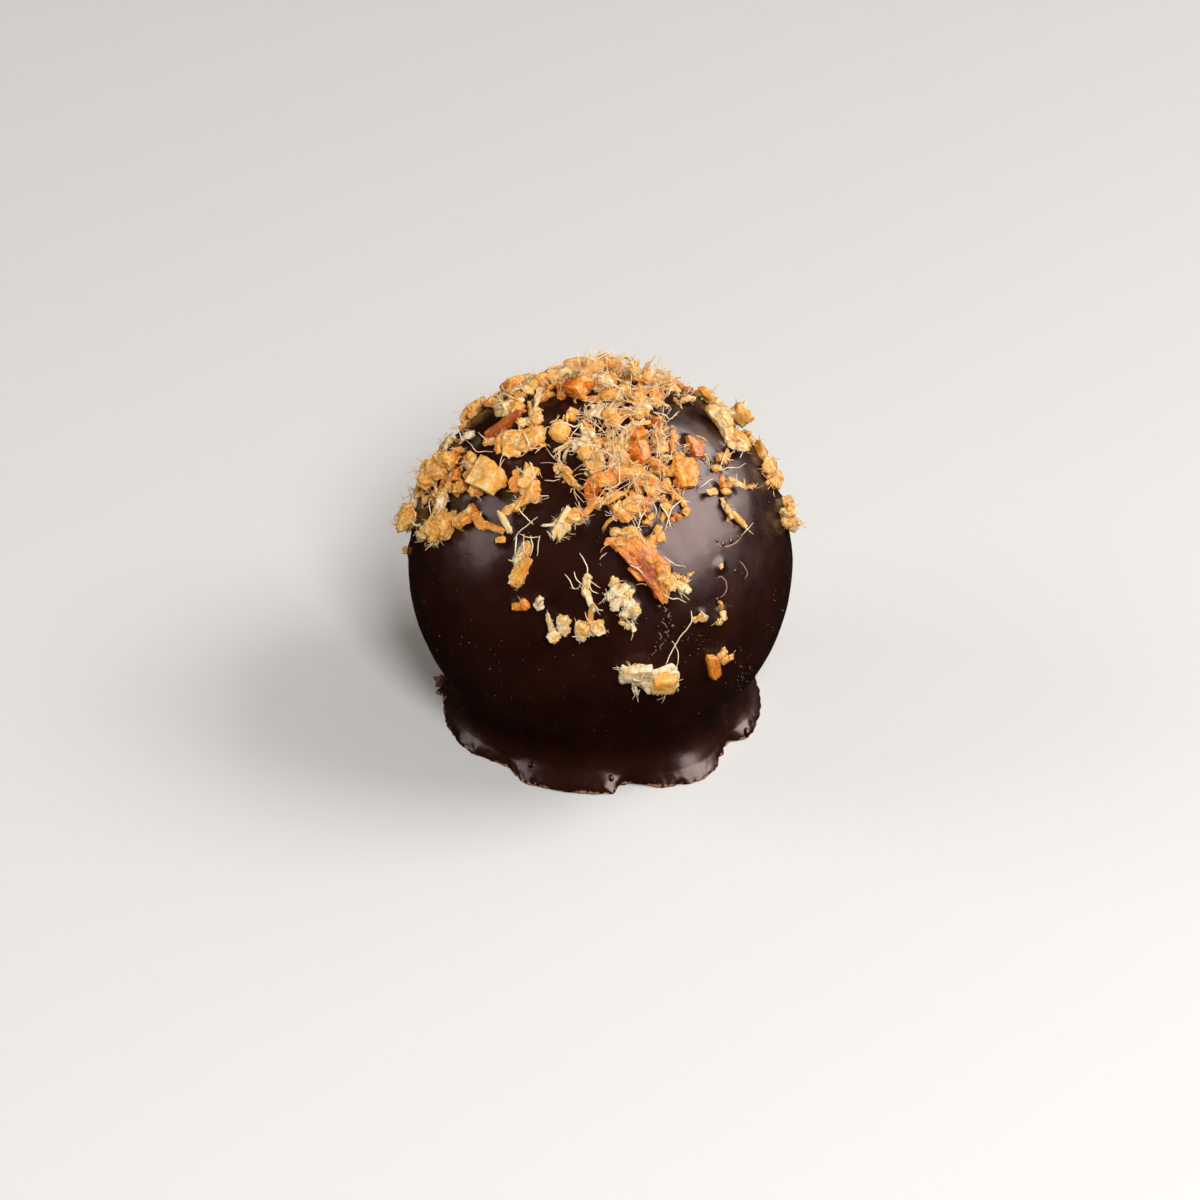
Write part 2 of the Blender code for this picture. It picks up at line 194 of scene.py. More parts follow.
# A crumb is seen at a photo pixel. Its length and width are in millimetres, its angle in the image in
# degrees from the right, and its rise is how high its middle lies over the chocolate.
Crumb = namedtuple("Crumb", "x y length width angle tone fuzz rise")
CRUMB_SWELL = 1.12
CRUMBS = (
    Crumb(665, 684, 2.1, 1.5, 4, 0.24, 0.34, 0.9),
    Crumb(467, 436, 1.4, 1.0, 20, 0.08, 0.9, 0.4),
    Crumb(449, 441, 1.3, 0.8, 50, 0.15, 0.9, 0.4),
    Crumb(437, 455, 1.2, 0.7, 40, 0.22, 0.9, 0.5),
    Crumb(455, 475, 1.0, 0.8, 80, 0.66, 0.3, 0.5),
    Crumb(471, 462, 1.8, 1.0, 85, 0.30, 0.8, 0.5),
    Crumb(470, 477, 1.1, 1.0, 10, 0.30, 0.6, 0.5),
    Crumb(460, 487, 1.1, 1.0, 30, 0.48, 0.4, 0.5),
    Crumb(476, 490, 1.2, 1.1, 0, 0.26, 0.7, 0.5),
    Crumb(448, 487, 1.4, 0.8, 70, 0.24, 0.9, 0.5),
    Crumb(517, 483, 1.3, 1.1, 45, 0.58, 0.3, 0.6),
    Crumb(500, 442, 2.0, 0.9, 85, 0.34, 0.7, 0.8),
    Crumb(489, 442, 1.0, 0.7, 20, 0.36, 0.7, 0.5),
    Crumb(504, 425, 3.3, 0.9, 27, 0.78, 0.3, 0.5),
    Crumb(526, 422, 1.3, 0.8, 25, 0.18, 0.8, 0.7),
    Crumb(536, 417, 1.6, 1.2, 80, 0.30, 0.7, 0.7),
    Crumb(511, 403, 2.0, 0.8, 25, 0.15, 0.9, 0.7),
    Crumb(511, 392, 1.1, 0.8, 10, 0.34, 0.8, 0.7),
    Crumb(521, 395, 1.1, 0.7, 20, 0.52, 0.5, 0.6),
    Crumb(531, 387, 1.5, 1.1, 30, 0.28, 0.9, 0.8),
    Crumb(543, 379, 1.5, 1.2, 35, 0.32, 0.9, 0.8),
    Crumb(537, 400, 1.6, 0.5, 88, 0.14, 0.7, 1.1),
    Crumb(563, 389, 1.7, 1.1, 80, 0.62, 0.5, 0.7),
    Crumb(562, 373, 2.4, 1.2, 25, 0.20, 0.8, 0.9),
    Crumb(586, 370, 2.8, 1.2, 0, 0.13, 0.9, 1.0),
    Crumb(571, 415, 1.2, 0.9, 88, 0.32, 0.6, 0.5),
    Crumb(570, 478, 2.5, 0.9, -62, 0.34, 0.6, 0.7),
    Crumb(560, 469, 1.0, 0.8, 10, 0.26, 0.7, 0.7),
    Crumb(529, 476, 2.3, 0.9, -80, 0.34, 0.8, 0.8),
    Crumb(517, 505, 2.3, 1.0, 45, 0.42, 0.7, 0.6),
    Crumb(505, 522, 1.9, 0.6, -65, 0.12, 0.8, 1.0),
    Crumb(440, 504, 2.0, 1.3, 70, 0.20, 1.0, 0.6),
    Crumb(464, 518, 1.9, 1.4, 60, 0.38, 0.8, 0.5),
    Crumb(400, 527, 1.3, 0.9, 20, 0.24, 1.0, 1.2),
    Crumb(405, 550, 0.7, 0.6, 0, 0.28, 0.8, 0.3),
    Crumb(500, 540, 0.8, 0.5, 10, 0.32, 0.7, 0.3),
    Crumb(560, 523, 2.6, 0.5, 62, 0.06, 0.9, 1.2),
    Crumb(550, 525, 1.3, 0.35, 5, 0.05, 0.9, 0.9),
    Crumb(592, 489, 1.7, 1.1, 85, 0.72, 0.2, 0.8),
    Crumb(604, 502, 3.6, 1.0, 22, 0.44, 0.6, 1.0),
    Crumb(607, 380, 1.6, 1.2, 10, 0.28, 0.7, 1.1),
    Crumb(633, 366, 2.3, 1.1, -58, 0.28, 0.8, 1.4),
    Crumb(640, 376, 2.2, 1.4, -20, 0.34, 0.8, 1.0),
    Crumb(655, 378, 1.7, 1.3, -35, 0.26, 0.9, 0.8),
    Crumb(657, 397, 2.0, 1.4, -60, 0.38, 0.8, 0.6),
    Crumb(640, 396, 2.0, 1.3, 70, 0.32, 0.7, 0.9),
    Crumb(617, 393, 2.3, 1.4, 10, 0.36, 0.6, 1.0),
    Crumb(612, 418, 1.7, 1.4, 85, 0.36, 0.5, 1.1),
    Crumb(596, 411, 1.5, 1.0, 60, 0.10, 1.0, 1.0),
    Crumb(642, 411, 1.7, 1.2, 60, 0.28, 0.7, 1.0),
    Crumb(633, 428, 3.2, 0.8, 38, 0.30, 0.6, 1.5),
    Crumb(589, 431, 1.2, 1.0, 70, 0.42, 0.6, 0.8),
    Crumb(582, 440, 2.1, 1.3, 55, 0.04, 1.0, 1.0),
    Crumb(592, 459, 2.4, 1.7, -70, 0.32, 0.7, 0.9),
    Crumb(616, 448, 1.8, 1.5, 20, 0.34, 0.6, 1.1),
    Crumb(637, 433, 1.2, 0.9, 10, 0.66, 0.3, 0.9),
    Crumb(655, 424, 1.3, 0.8, -25, 0.88, 0.2, 0.7),
    Crumb(641, 452, 1.8, 1.6, -40, 0.64, 0.3, 0.9),
    Crumb(659, 441, 1.9, 1.2, -55, 0.26, 0.9, 0.8),
    Crumb(673, 440, 2.1, 0.8, 80, 0.40, 0.6, 0.6),
    Crumb(678, 456, 0.9, 0.8, 45, 0.26, 0.5, 0.5),
    Crumb(694, 448, 2.0, 1.1, -62, 0.70, 0.2, 0.15),
    Crumb(658, 465, 1.4, 0.9, -35, 0.42, 0.7, 0.7),
    Crumb(630, 473, 2.4, 1.8, -20, 0.36, 0.6, 1.1),
    Crumb(647, 483, 2.2, 1.6, -35, 0.42, 0.6, 0.8),
    Crumb(603, 479, 2.1, 1.5, 10, 0.52, 0.5, 0.9),
    Crumb(619, 462, 1.8, 1.4, 60, 0.33, 0.7, 1.1),
    Crumb(645, 501, 1.2, 0.9, -30, 0.58, 0.5, 0.6),
    Crumb(672, 492, 2.0, 0.7, -30, 0.44, 0.7, 0.5),
    Crumb(665, 502, 1.2, 0.8, -60, 0.32, 0.8, 0.5),
    Crumb(628, 506, 2.5, 2.0, 60, 0.40, 0.5, 1.0),
    Crumb(649, 520, 1.0, 0.7, 30, 0.30, 0.8, 0.4),
    Crumb(685, 508, 1.1, 0.9, -40, 0.42, 0.6, 0.4),
    Crumb(676, 517, 0.9, 0.7, 10, 0.62, 0.6, 0.4),
    Crumb(657, 537, 1.7, 1.2, 80, 0.32, 0.8, 0.5),
    Crumb(624, 533, 1.9, 1.1, 15, 0.32, 1.0, 1.2),
    Crumb(688, 399, 1.6, 0.7, 5, 0.26, 0.7, 0.5),
    Crumb(737, 446, 1.5, 1.0, -40, 0.22, 0.9, 0.7),
    Crumb(723, 458, 1.1, 1.0, 30, 0.44, 0.7, 0.4),
    Crumb(716, 468, 0.9, 0.6, 10, 0.30, 0.8, 0.3),
    Crumb(725, 482, 1.2, 0.9, -20, 0.56, 0.6, 0.5),
    Crumb(738, 484, 1.7, 0.5, -35, 0.28, 0.8, 0.5),
    Crumb(713, 492, 1.4, 0.6, 20, 0.22, 0.8, 0.4),
    Crumb(726, 491, 0.9, 0.6, 5, 0.34, 0.5, 0.4),
    Crumb(727, 508, 1.7, 0.7, -60, 0.30, 0.8, 0.4),
    Crumb(739, 520, 2.0, 0.6, -40, 0.34, 0.8, 0.4),
    Crumb(771, 462, 1.2, 1.0, 20, 0.28, 0.8, 0.7),
    Crumb(791, 505, 1.1, 0.8, 60, 0.20, 1.0, 0.8),
    Crumb(521, 606, 1.3, 0.9, 25, 0.54, 0.4, 0.3),
    Crumb(539, 603, 1.2, 0.9, 70, 0.12, 0.5, 0.3),
    Crumb(550, 626, 2.2, 0.45, -85, 0.06, 0.7, 0.5),
    Crumb(589, 600, 3.8, 1.1, -76, 0.14, 0.8, 0.7),
    Crumb(612, 588, 1.7, 0.9, 60, 0.06, 1.0, 1.0),
    Crumb(630, 606, 1.3, 0.9, -10, 0.10, 0.9, 0.9),
    Crumb(628, 625, 1.4, 0.7, -35, 0.08, 0.9, 0.4),
    Crumb(678, 583, 2.2, 0.9, -50, 0.20, 1.0, 0.9),
    Crumb(713, 666, 2.3, 0.9, -80, 0.58, 0.3, 0.3),
    Crumb(725, 657, 1.4, 1.1, -40, 0.24, 0.6, 0.3),
    Crumb(704, 618, 0.7, 0.6, 0, 0.10, 0.6, 0.2),
    Crumb(722, 618, 1.1, 0.8, 75, 0.22, 0.6, 0.2),
    Crumb(721, 566, 0.5, 0.4, 30, 0.20, 0.6, 0.1),
    Crumb(636, 690, 1.0, 0.3, -75, 0.02, 0.9, 0.5),
    Crumb(655, 562, 1.9, 1.0, -48, 0.46, 0.9, 1.0),
    Crumb(637, 574, 1.4, 0.6, -48, 0.60, 0.6, 0.8),
    Crumb(616, 543, 1.6, 0.9, -20, 0.44, 0.9, 1.3),
    Crumb(668, 581, 1.7, 1.0, -38, 0.34, 0.9, 1.1),
)

# The crown's crumbs lie within this distance of its middle, in photo pixels.
CROWN_MIDDLE = (620, 440)
CROWN_REACH = 84

# A heap of crumbs fills an ellipse in the photograph: its middle and its half sizes, in pixels.
HEAPS = (
    (622, 432, 46, 74),
    (642, 392, 32, 28),
    (590, 375, 48, 20),
    (528, 396, 30, 22),
    (448, 482, 24, 30),
    (650, 497, 30, 24),
)

# Dust lies thick in these ellipses.
DUST_SPOTS = (
    (740, 672, 7, 14),
    (674, 701, 9, 7),
    (700, 640, 16, 10),
    (640, 645, 14, 8),
)

# Shapes are strewn at sizes from smallest to largest, tilted up to so many radians, sunk so many
# millimetres. Tint is how much their tone varies, ground tone the share of the ground's tone that they
# take, and even the share that lies where nothing is torn.
Strewing = namedtuple("Strewing", "smallest largest tilt sink tint ground_tone even seed")
STREWINGS = {
    "ginger_crumbs_small": Strewing(0.5, 1.2, 0.8, -0.15, 0.22, 0.0, 0.0, 21),
    "fibres_short": Strewing(0.45, 1.1, 0.5, -0.02, 0.12, 0.5, 0.03, 7),
    "fibres_crown": Strewing(0.5, 1.2, 0.6, -0.05, 0.12, 0.3, 0.1, 47),
    "ginger_slivers": Strewing(0.5, 1.2, 1.5, 0.02, 0.12, 0.7, 0.0, 17),
    "ginger_shreds": Strewing(0.5, 1.1, 0.7, 0.0, 0.14, 0.6, 0.15, 57),
    "ginger_grains": Strewing(0.5, 1.2, 3.1, 0.03, 0.12, 0.9, 0.05, 27),
    "ginger_dust": Strewing(0.25, 0.75, 3.1, -0.01, 0.3, 0.0, 0.06, 33),
}
# How many different shapes of each kind there are
TUFT_SHAPES, SLIVER_SHAPES, SHRED_SHAPES, GRAIN_SHAPES, SMALL_SHAPES, DUST_SHAPES = 14, 9, 10, 6, 9, 4
# Dust on each square millimetre where it is thickest, and its tone
DUST_DENSITY = 6.5
DUST_TONE = 0.7

# How strongly each effect shows on clear and on dry ginger: streaks along the grain, whose tone rises in
# the strands' low valleys as painted shade, loose threads, combed strands, pale crumbs and the relief of the
# strands; the roughness where it is whole and where it is torn; and how far red, green and blue light
# travels inside, as shares of its depth.
GingerLook = namedtuple("GingerLook", "streak thread combed crumbs relief smooth torn spread")
CLEAR_LOOK = GingerLook(0.6, 0.15, 0.12, 0.04, 0.3, 0.15, 0.32, (0.6, 0.8, 1.0))
DRY_LOOK = GingerLook(1.0, 0.35, 0.35, 0.15, 0.6, 0.25, 0.46, (0.8, 0.9, 1.0))
GINGER_IOR = 1.48
CHOCOLATE_IOR = 1.46

# Soft lights and panels round the ball: the setting that holds the power, width and height, azimuth and
# elevation in degrees, distance, colour, and the rays that don't see it
Lamp = namedtuple("Lamp", "name power width height azimuth elevation distance colour unseen")
WHITE, WARM = (1.0, 1.0, 1.0), (1.0, 0.80, 0.74)
LAMPS = (
    Lamp("light_right", "right_light", 0.30, 0.24, 0, 46, 0.50, WHITE, "visible_glossy"),
    Lamp("light_left", "left_light", 0.30, 0.20, 180, 30, 0.50, WHITE, "visible_glossy"),
    Lamp("light_key", "key_light", 0.14, 0.14, -78, 40, 0.55, WHITE, "visible_glossy"),
    Lamp("panel_right", "right_panel", 0.80, 0.39, 0, 37, 0.45, WARM, "visible_diffuse"),
    Lamp("panel_left", "left_panel", 0.26, 0.30, 180, 25, 0.50, WARM, "visible_diffuse"),
)
BACKDROP = (1.0, 0.84, 0.66, 1.0)
FLOOR_SIDE = 3.0
FLOOR_ROUGHNESS = 0.6
NEAR_CLIP = 0.01

# A long fibre passes over photo pixels; the third number is its height over the chocolate in mm.
FIBRES = (
    ((691, 611, 0.5), (692, 622, 0.8), (681, 636, 0.5), (672, 650, 0.3), (666, 664, 0.9)),
    ((677, 668, 1.0), (679, 652, 0.5), (672, 641, 0.2)),
    ((518, 508, 0.6), (524, 515, 0.3), (533, 524, 0.4)),
    ((537, 517, 0.5), (526, 526, 0.3), (518, 533, 0.2), (514, 540, 0.4)),
    ((626, 353, 3.0), (631, 359, 2.4), (634, 368, 1.8)),
    ((600, 362, 1.6), (604, 357, 2.2), (607, 359, 2.4), (603, 363, 1.7)),
    ((587, 356, 2.4), (593, 359, 2.0), (598, 364, 1.5)),
    ((662, 372, 1.2), (668, 380, 1.5), (676, 385, 1.0)),
    ((663, 386, 1.3), (669, 382, 1.7), (673, 378, 1.4), (676, 383, 1.2)),
    ((668, 396, 1.2), (671, 388, 1.5), (675, 384, 1.3)),
    ((653, 412, 0.6), (664, 414, 0.9), (670, 420, 0.4), (679, 411, 0.3)),
    ((603, 490, 1.6), (612, 488, 1.8), (620, 484, 1.7), (619, 465, 2.0), (617, 452, 1.9)),
    ((594, 452, 1.7), (603, 450, 2.0), (612, 456, 2.0), (618, 462, 1.8)),
    ((588, 420, 1.6), (597, 425, 1.9), (605, 433, 1.7)),
    ((580, 425, 1.3), (572, 434, 1.4), (566, 447, 1.0)),
    ((552, 425, 1.4), (562, 422, 1.7), (575, 427, 1.2), (582, 424, 1.3)),
    ((580, 470, 0.8), (587, 469, 1.0), (592, 467, 0.9)),
    ((640, 535, 1.2), (647, 546, 1.0), (650, 551, 0.4)),
    ((663, 556, 0.7), (668, 560, 1.0), (676, 565, 0.8), (686, 567, 0.3)),
    ((630, 565, 2.0), (638, 568, 2.1), (643, 574, 1.9)),
    ((665, 595, 1.2), (672, 599, 0.8), (679, 598, 0.6), (686, 603, 0.3)),
    ((652, 500, 0.9), (657, 510, 1.0), (654, 518, 0.6)),
    ((660, 505, 0.8), (668, 515, 0.9), (671, 528, 0.4)),
    ((683, 498, 0.7), (672, 508, 0.9), (668, 520, 0.7), (665, 530, 0.4)),
    ((646, 510, 0.8), (640, 520, 0.9), (637, 530, 0.6)),
    ((610, 508, 0.9), (611, 514, 0.6), (615, 520, 0.3)),
    ((741, 440, 0.5), (745, 447, 0.8), (740, 458, 0.5)),
    ((726, 450, 0.8), (724, 456, 0.9), (720, 470, 0.5)),
    ((721, 470, 0.5), (728, 467, 0.8), (738, 468, 0.7), (746, 463, 0.4)),
    ((736, 437, 1.4), (742, 440, 1.5), (746, 448, 1.1)),
    ((700, 488, 0.3), (706, 483, 0.5), (714, 478, 0.3)),
    ((742, 524, 0.4), (748, 530, 0.6), (754, 535, 0.4)),
    ((741, 536, 0.3), (747, 530, 0.7), (753, 523, 0.4)),
    ((565, 574, 0.5), (570, 580, 0.9), (573, 588, 0.8), (579, 589, 0.4)),
    ((574, 572, 0.9), (577, 580, 1.0), (583, 585, 0.8)),
    ((580, 553, 0.6), (584, 560, 1.0), (588, 570, 1.1), (586, 580, 0.9)),
    ((586, 580, 0.9), (592, 582, 1.0), (600, 588, 0.5)),
    ((588, 582, 0.9), (591, 590, 0.9), (598, 594, 0.4)),
    ((620, 612, 0.9), (628, 620, 0.9), (634, 630, 0.5), (631, 640, 0.3)),
    ((633, 612, 0.4), (632, 622, 0.7), (636, 628, 0.5)),
    ((600, 560, 0.1), (602, 556, 0.3), (607, 553, 0.1)),
    ((496, 394, 1.2), (500, 400, 1.3), (506, 404, 0.9)),
    ((511, 388, 1.2), (516, 389, 1.3), (521, 389, 1.0)),
    ((466, 440, 0.9), (472, 446, 1.1), (477, 452, 0.8), (485, 451, 0.6), (493, 452, 0.6)),
    ((478, 432, 0.8), (483, 437, 1.0), (487, 441, 0.7)),
    ((457, 428, 1.2), (460, 434, 1.0), (463, 441, 0.6)),
    ((524, 432, 1.3), (527, 438, 1.5), (529, 446, 1.3)),
    ((516, 466, 0.9), (521, 471, 1.1), (525, 475, 0.9)),
    ((530, 462, 1.4), (533, 470, 1.5), (535, 478, 1.3)),
    ((545, 480, 0.7), (552, 481, 0.5), (560, 479, 0.7)),
    ((536, 495, 0.5), (542, 496, 0.4), (549, 496, 0.2)),
    ((430, 500, 1.2), (429, 508, 1.3), (431, 515, 1.0)),
    ((397, 506, 1.5), (404, 508, 1.9), (412, 505, 1.6)),
    ((398, 512, 1.2), (394, 518, 1.5), (396, 526, 1.3)),
    ((410, 518, 1.2), (416, 526, 0.9), (421, 524, 0.6)),
    ((412, 508, 1.8), (416, 514, 1.7), (414, 522, 1.4)),
    ((517, 536, 0.9), (516, 545, 1.0), (515, 555, 0.9)),
    ((524, 534, 1.0), (523, 544, 1.3), (525, 554, 1.1)),
    ((531, 536, 1.0), (533, 546, 1.2), (530, 556, 1.0)),
    ((540, 536, 0.6), (538, 546, 0.8), (537, 556, 0.7)),
    ((519, 534, 0.9), (528, 538, 1.2), (539, 537, 0.9)),
    ((632, 689, 0.8), (636, 693, 0.6), (633, 700, 0.4)),
    ((640, 690, 0.8), (637, 695, 0.6), (638, 702, 0.4)),
)

# A bead of chocolate at a photo pixel: its radius across and how far it stands out, in millimetres.
Bead = namedtuple("Bead", "x y radius rise")
BEADS = (
    Bead(717, 541, 0.20, 0.07),
    Bead(723, 544, 0.26, 0.08),
    Bead(731, 541, 0.28, 0.09),
    Bead(738, 537, 0.20, 0.07),
    Bead(735, 571, 0.16, 0.06),
    Bead(742, 574, 0.14, 0.06),
    Bead(717, 600, 0.22, 0.08),
    Bead(668, 618, 0.26, 0.09),
    Bead(672, 628, 0.30, 0.08),
    Bead(665, 634, 0.24, 0.08),
    Bead(660, 640, 0.20, 0.06),
    Bead(655, 648, 0.18, 0.06),
    Bead(651, 656, 0.16, 0.05),
    Bead(646, 619, 0.12, 0.06),
    Bead(664, 612, 0.14, 0.06),
    Bead(671, 617, 0.12, 0.06),
    Bead(663, 620, 0.16, 0.07),
    Bead(669, 624, 0.13, 0.05),
    Bead(658, 627, 0.12, 0.05),
    Bead(665, 641, 0.13, 0.05),
    Bead(656, 643, 0.12, 0.05),
    Bead(648, 659, 0.12, 0.05),
    Bead(599, 565, 0.22, 0.07),
    Bead(743, 486, 0.20, 0.08),
    Bead(701, 478, 0.18, 0.07),
    Bead(711, 463, 0.26, 0.08),
    Bead(650, 542, 0.20, 0.07),
    Bead(690, 470, 0.20, 0.07),
    Bead(658, 608, 0.34, 0.09),
    Bead(531, 765, 0.30, 0.16),
    Bead(611, 778, 0.34, 0.18),
    Bead(747, 732, 0.40, 0.22),
)

# A low ridge in the chocolate: its half width in millimetres, and the photo pixels that it passes. Its
# tube takes the pale rim colour, a painted highlight line along the ridge.
Ridge = namedtuple("Ridge", "width route")
RIDGES = (
    Ridge(0.085, ((716, 579), (721, 576), (726, 581), (727, 589), (724, 595), (718, 599))),
    Ridge(0.075, ((714, 538), (719, 545), (727, 547), (736, 543), (741, 537), (742, 533))),
    Ridge(0.10, ((679, 449), (688, 453), (700, 454), (709, 459), (713, 468), (715, 478), (713, 486))),
    Ridge(0.07, ((738, 560), (743, 564), (748, 573), (744, 581))),
    Ridge(0.06, ((663, 606), (667, 610), (663, 614))),
    Ridge(0.05, ((671, 611), (668, 616), (672, 621))),
    Ridge(0.05, ((660, 621), (665, 624), (668, 629))),
    Ridge(0.06, ((671, 627), (667, 633), (669, 638))),
    Ridge(0.05, ((658, 631), (662, 637), (658, 642))),
    Ridge(0.05, ((665, 642), (660, 646), (661, 651))),
    Ridge(0.04, ((653, 645), (656, 651), (651, 656))),
    Ridge(0.06, ((640, 566), (646, 572), (650, 582), (652, 592))),
)

# A broken flake of the foot: its middle and its length, width and height, in millimetres, and its
# turn about the upright and lean in degrees.
Flake = namedtuple("Flake", "middle size yaw lean")
FLAKES = (
    Flake((-12.35, 2.15, 0.62), (1.5, 0.42, 1.35), 12, 24),
    Flake((-12.75, 2.05, 0.85), (0.9, 0.30, 0.9), -20, -18),
    Flake((-11.95, 2.45, 0.75), (1.0, 0.40, 1.2), 40, 10),
    Flake((-12.15, 0.15, 0.42), (0.85, 0.45, 0.75), 65, 14),
    Flake((-11.95, 0.75, 0.36), (0.8, 0.35, 0.6), 100, -12),
)


def ripple(points, size, seed):
    """Smooth lumps of the given size, from -1 to 1, at each row of points."""
    cells = points / size + 0.37 * seed
    base = np.floor(cells).astype(np.int64)
    part = cells - base
    part = part * part * (3.0 - 2.0 * part)
    total = np.zeros(len(points))
    for corner in itertools.product((0, 1), repeat=3):
        cell = base + np.array(corner)
        mixed = cell[:, 0] * 73856093 ^ cell[:, 1] * 19349663 ^ cell[:, 2] * 83492791 ^ seed * 40503
        mixed = (mixed ^ (mixed >> 13)) * 1274126177 & 0x7FFFFFFF
        weight = np.prod(np.where(np.array(corner) > 0, part, 1.0 - part), axis=1)
        total += weight * (mixed / 0x3FFFFFFF - 1.0)
    return total


def unit_rows(rows):
    """Each row scaled to length 1."""
    return rows / np.maximum(np.linalg.norm(rows, axis=1, keepdims=True), 1e-12)


def seat_axes(polar, azimuth, turn):
    """Axes of a seat on the ball as columns: along the piece, across it, and out of the ball."""
    polar, azimuth, turn = (math.radians(value) for value in (polar, azimuth, turn))
    downhill = np.array(
        (math.cos(polar) * math.cos(azimuth), math.cos(polar) * math.sin(azimuth), -math.sin(polar))
    )
    around = np.array((-math.sin(azimuth), math.cos(azimuth), 0.0))
    along = downhill * math.cos(turn) + around * math.sin(turn)
    across = around * math.cos(turn) - downhill * math.sin(turn)
    return np.column_stack((along, across, np.cross(along, across)))


def wrap_on_ball(axes, points):
    """Points of a piece, given along, across and above its seat, bent to follow the ball."""
    angle = np.hypot(points[:, 0], points[:, 1]) / BALL_RADIUS
    heading = np.arctan2(points[:, 1], points[:, 0])
    local = np.column_stack(
        (np.sin(angle) * np.cos(heading), np.sin(angle) * np.sin(heading), np.cos(angle))
    )
    return BALL_CENTRE + (local @ axes.T) * (BALL_RADIUS + points[:, 2:3])


def camera_place():
    """Where the camera stands, so that the ball's middle is seen at its photo pixel."""
    shift_right = (PHOTO_SIDE / 2 - PHOTO_BALL[0]) / PHOTO_SCALE
    shift_up = (PHOTO_BALL[1] - PHOTO_SIDE / 2) / PHOTO_SCALE
    return BALL_CENTRE + VIEW_RIGHT * shift_right + VIEW_UP * shift_up + VIEW_OUT * CAMERA_DISTANCE


def pixel_ray(x, y):
    """Direction from the camera through a photo pixel."""
    focal = PHOTO_SCALE * CAMERA_DISTANCE
    ray = VIEW_RIGHT * (x - PHOTO_SIDE / 2) / focal + VIEW_UP * (PHOTO_SIDE / 2 - y) / focal - VIEW_OUT
    return ray / np.linalg.norm(ray)


def pixel_point(x, y, lift):
    """The point at a height over the ball that is seen at a photo pixel, or the nearest to it."""
    ray = pixel_ray(x, y)
    start = camera_place() - BALL_CENTRE
    middle = -ray @ start
    inside = (BALL_RADIUS + lift) ** 2 - (start @ start - middle**2)
    return BALL_CENTRE + start + ray * (middle - math.sqrt(max(inside, 0.0)))


def pixel_axes(x, y, angle, lift):
    """Middle and axes of a seat seen at a photo pixel, its length at an angle in the image."""
    point = pixel_point(x, y, lift)
    normal = (point - BALL_CENTRE) / np.linalg.norm(point - BALL_CENTRE)
    heading = VIEW_RIGHT * math.cos(math.radians(angle)) + VIEW_UP * math.sin(math.radians(angle))
    facing = max(normal @ VIEW_OUT, 0.35)
    along = heading - VIEW_OUT * (heading @ normal) / facing
    along -= normal * (along @ normal)
    along /= np.linalg.norm(along)
    return point, np.column_stack((along, np.cross(normal, along), normal))


_blocks = {}


def unit_block(cuts):
    """Corners and faces of a cube from -1 to 1 with a grid of cuts on each side."""
    if cuts not in _blocks:
        form = bmesh.new()
        bmesh.ops.create_cube(form, size=2.0)
        bmesh.ops.subdivide_edges(form, edges=form.edges[:], cuts=cuts, use_grid_fill=True)
        form.verts.index_update()
        corners = np.array([vertex.co[:] for vertex in form.verts])
        faces = np.array([[vertex.index for vertex in face.verts] for face in form.faces])
        form.free()
        _blocks[cuts] = (corners, faces)
    return _blocks[cuts]


# A lump's points each have a tone, how torn it is there, and a place in its own grain.
Lump = namedtuple("Lump", "points faces tone fuzz weave")


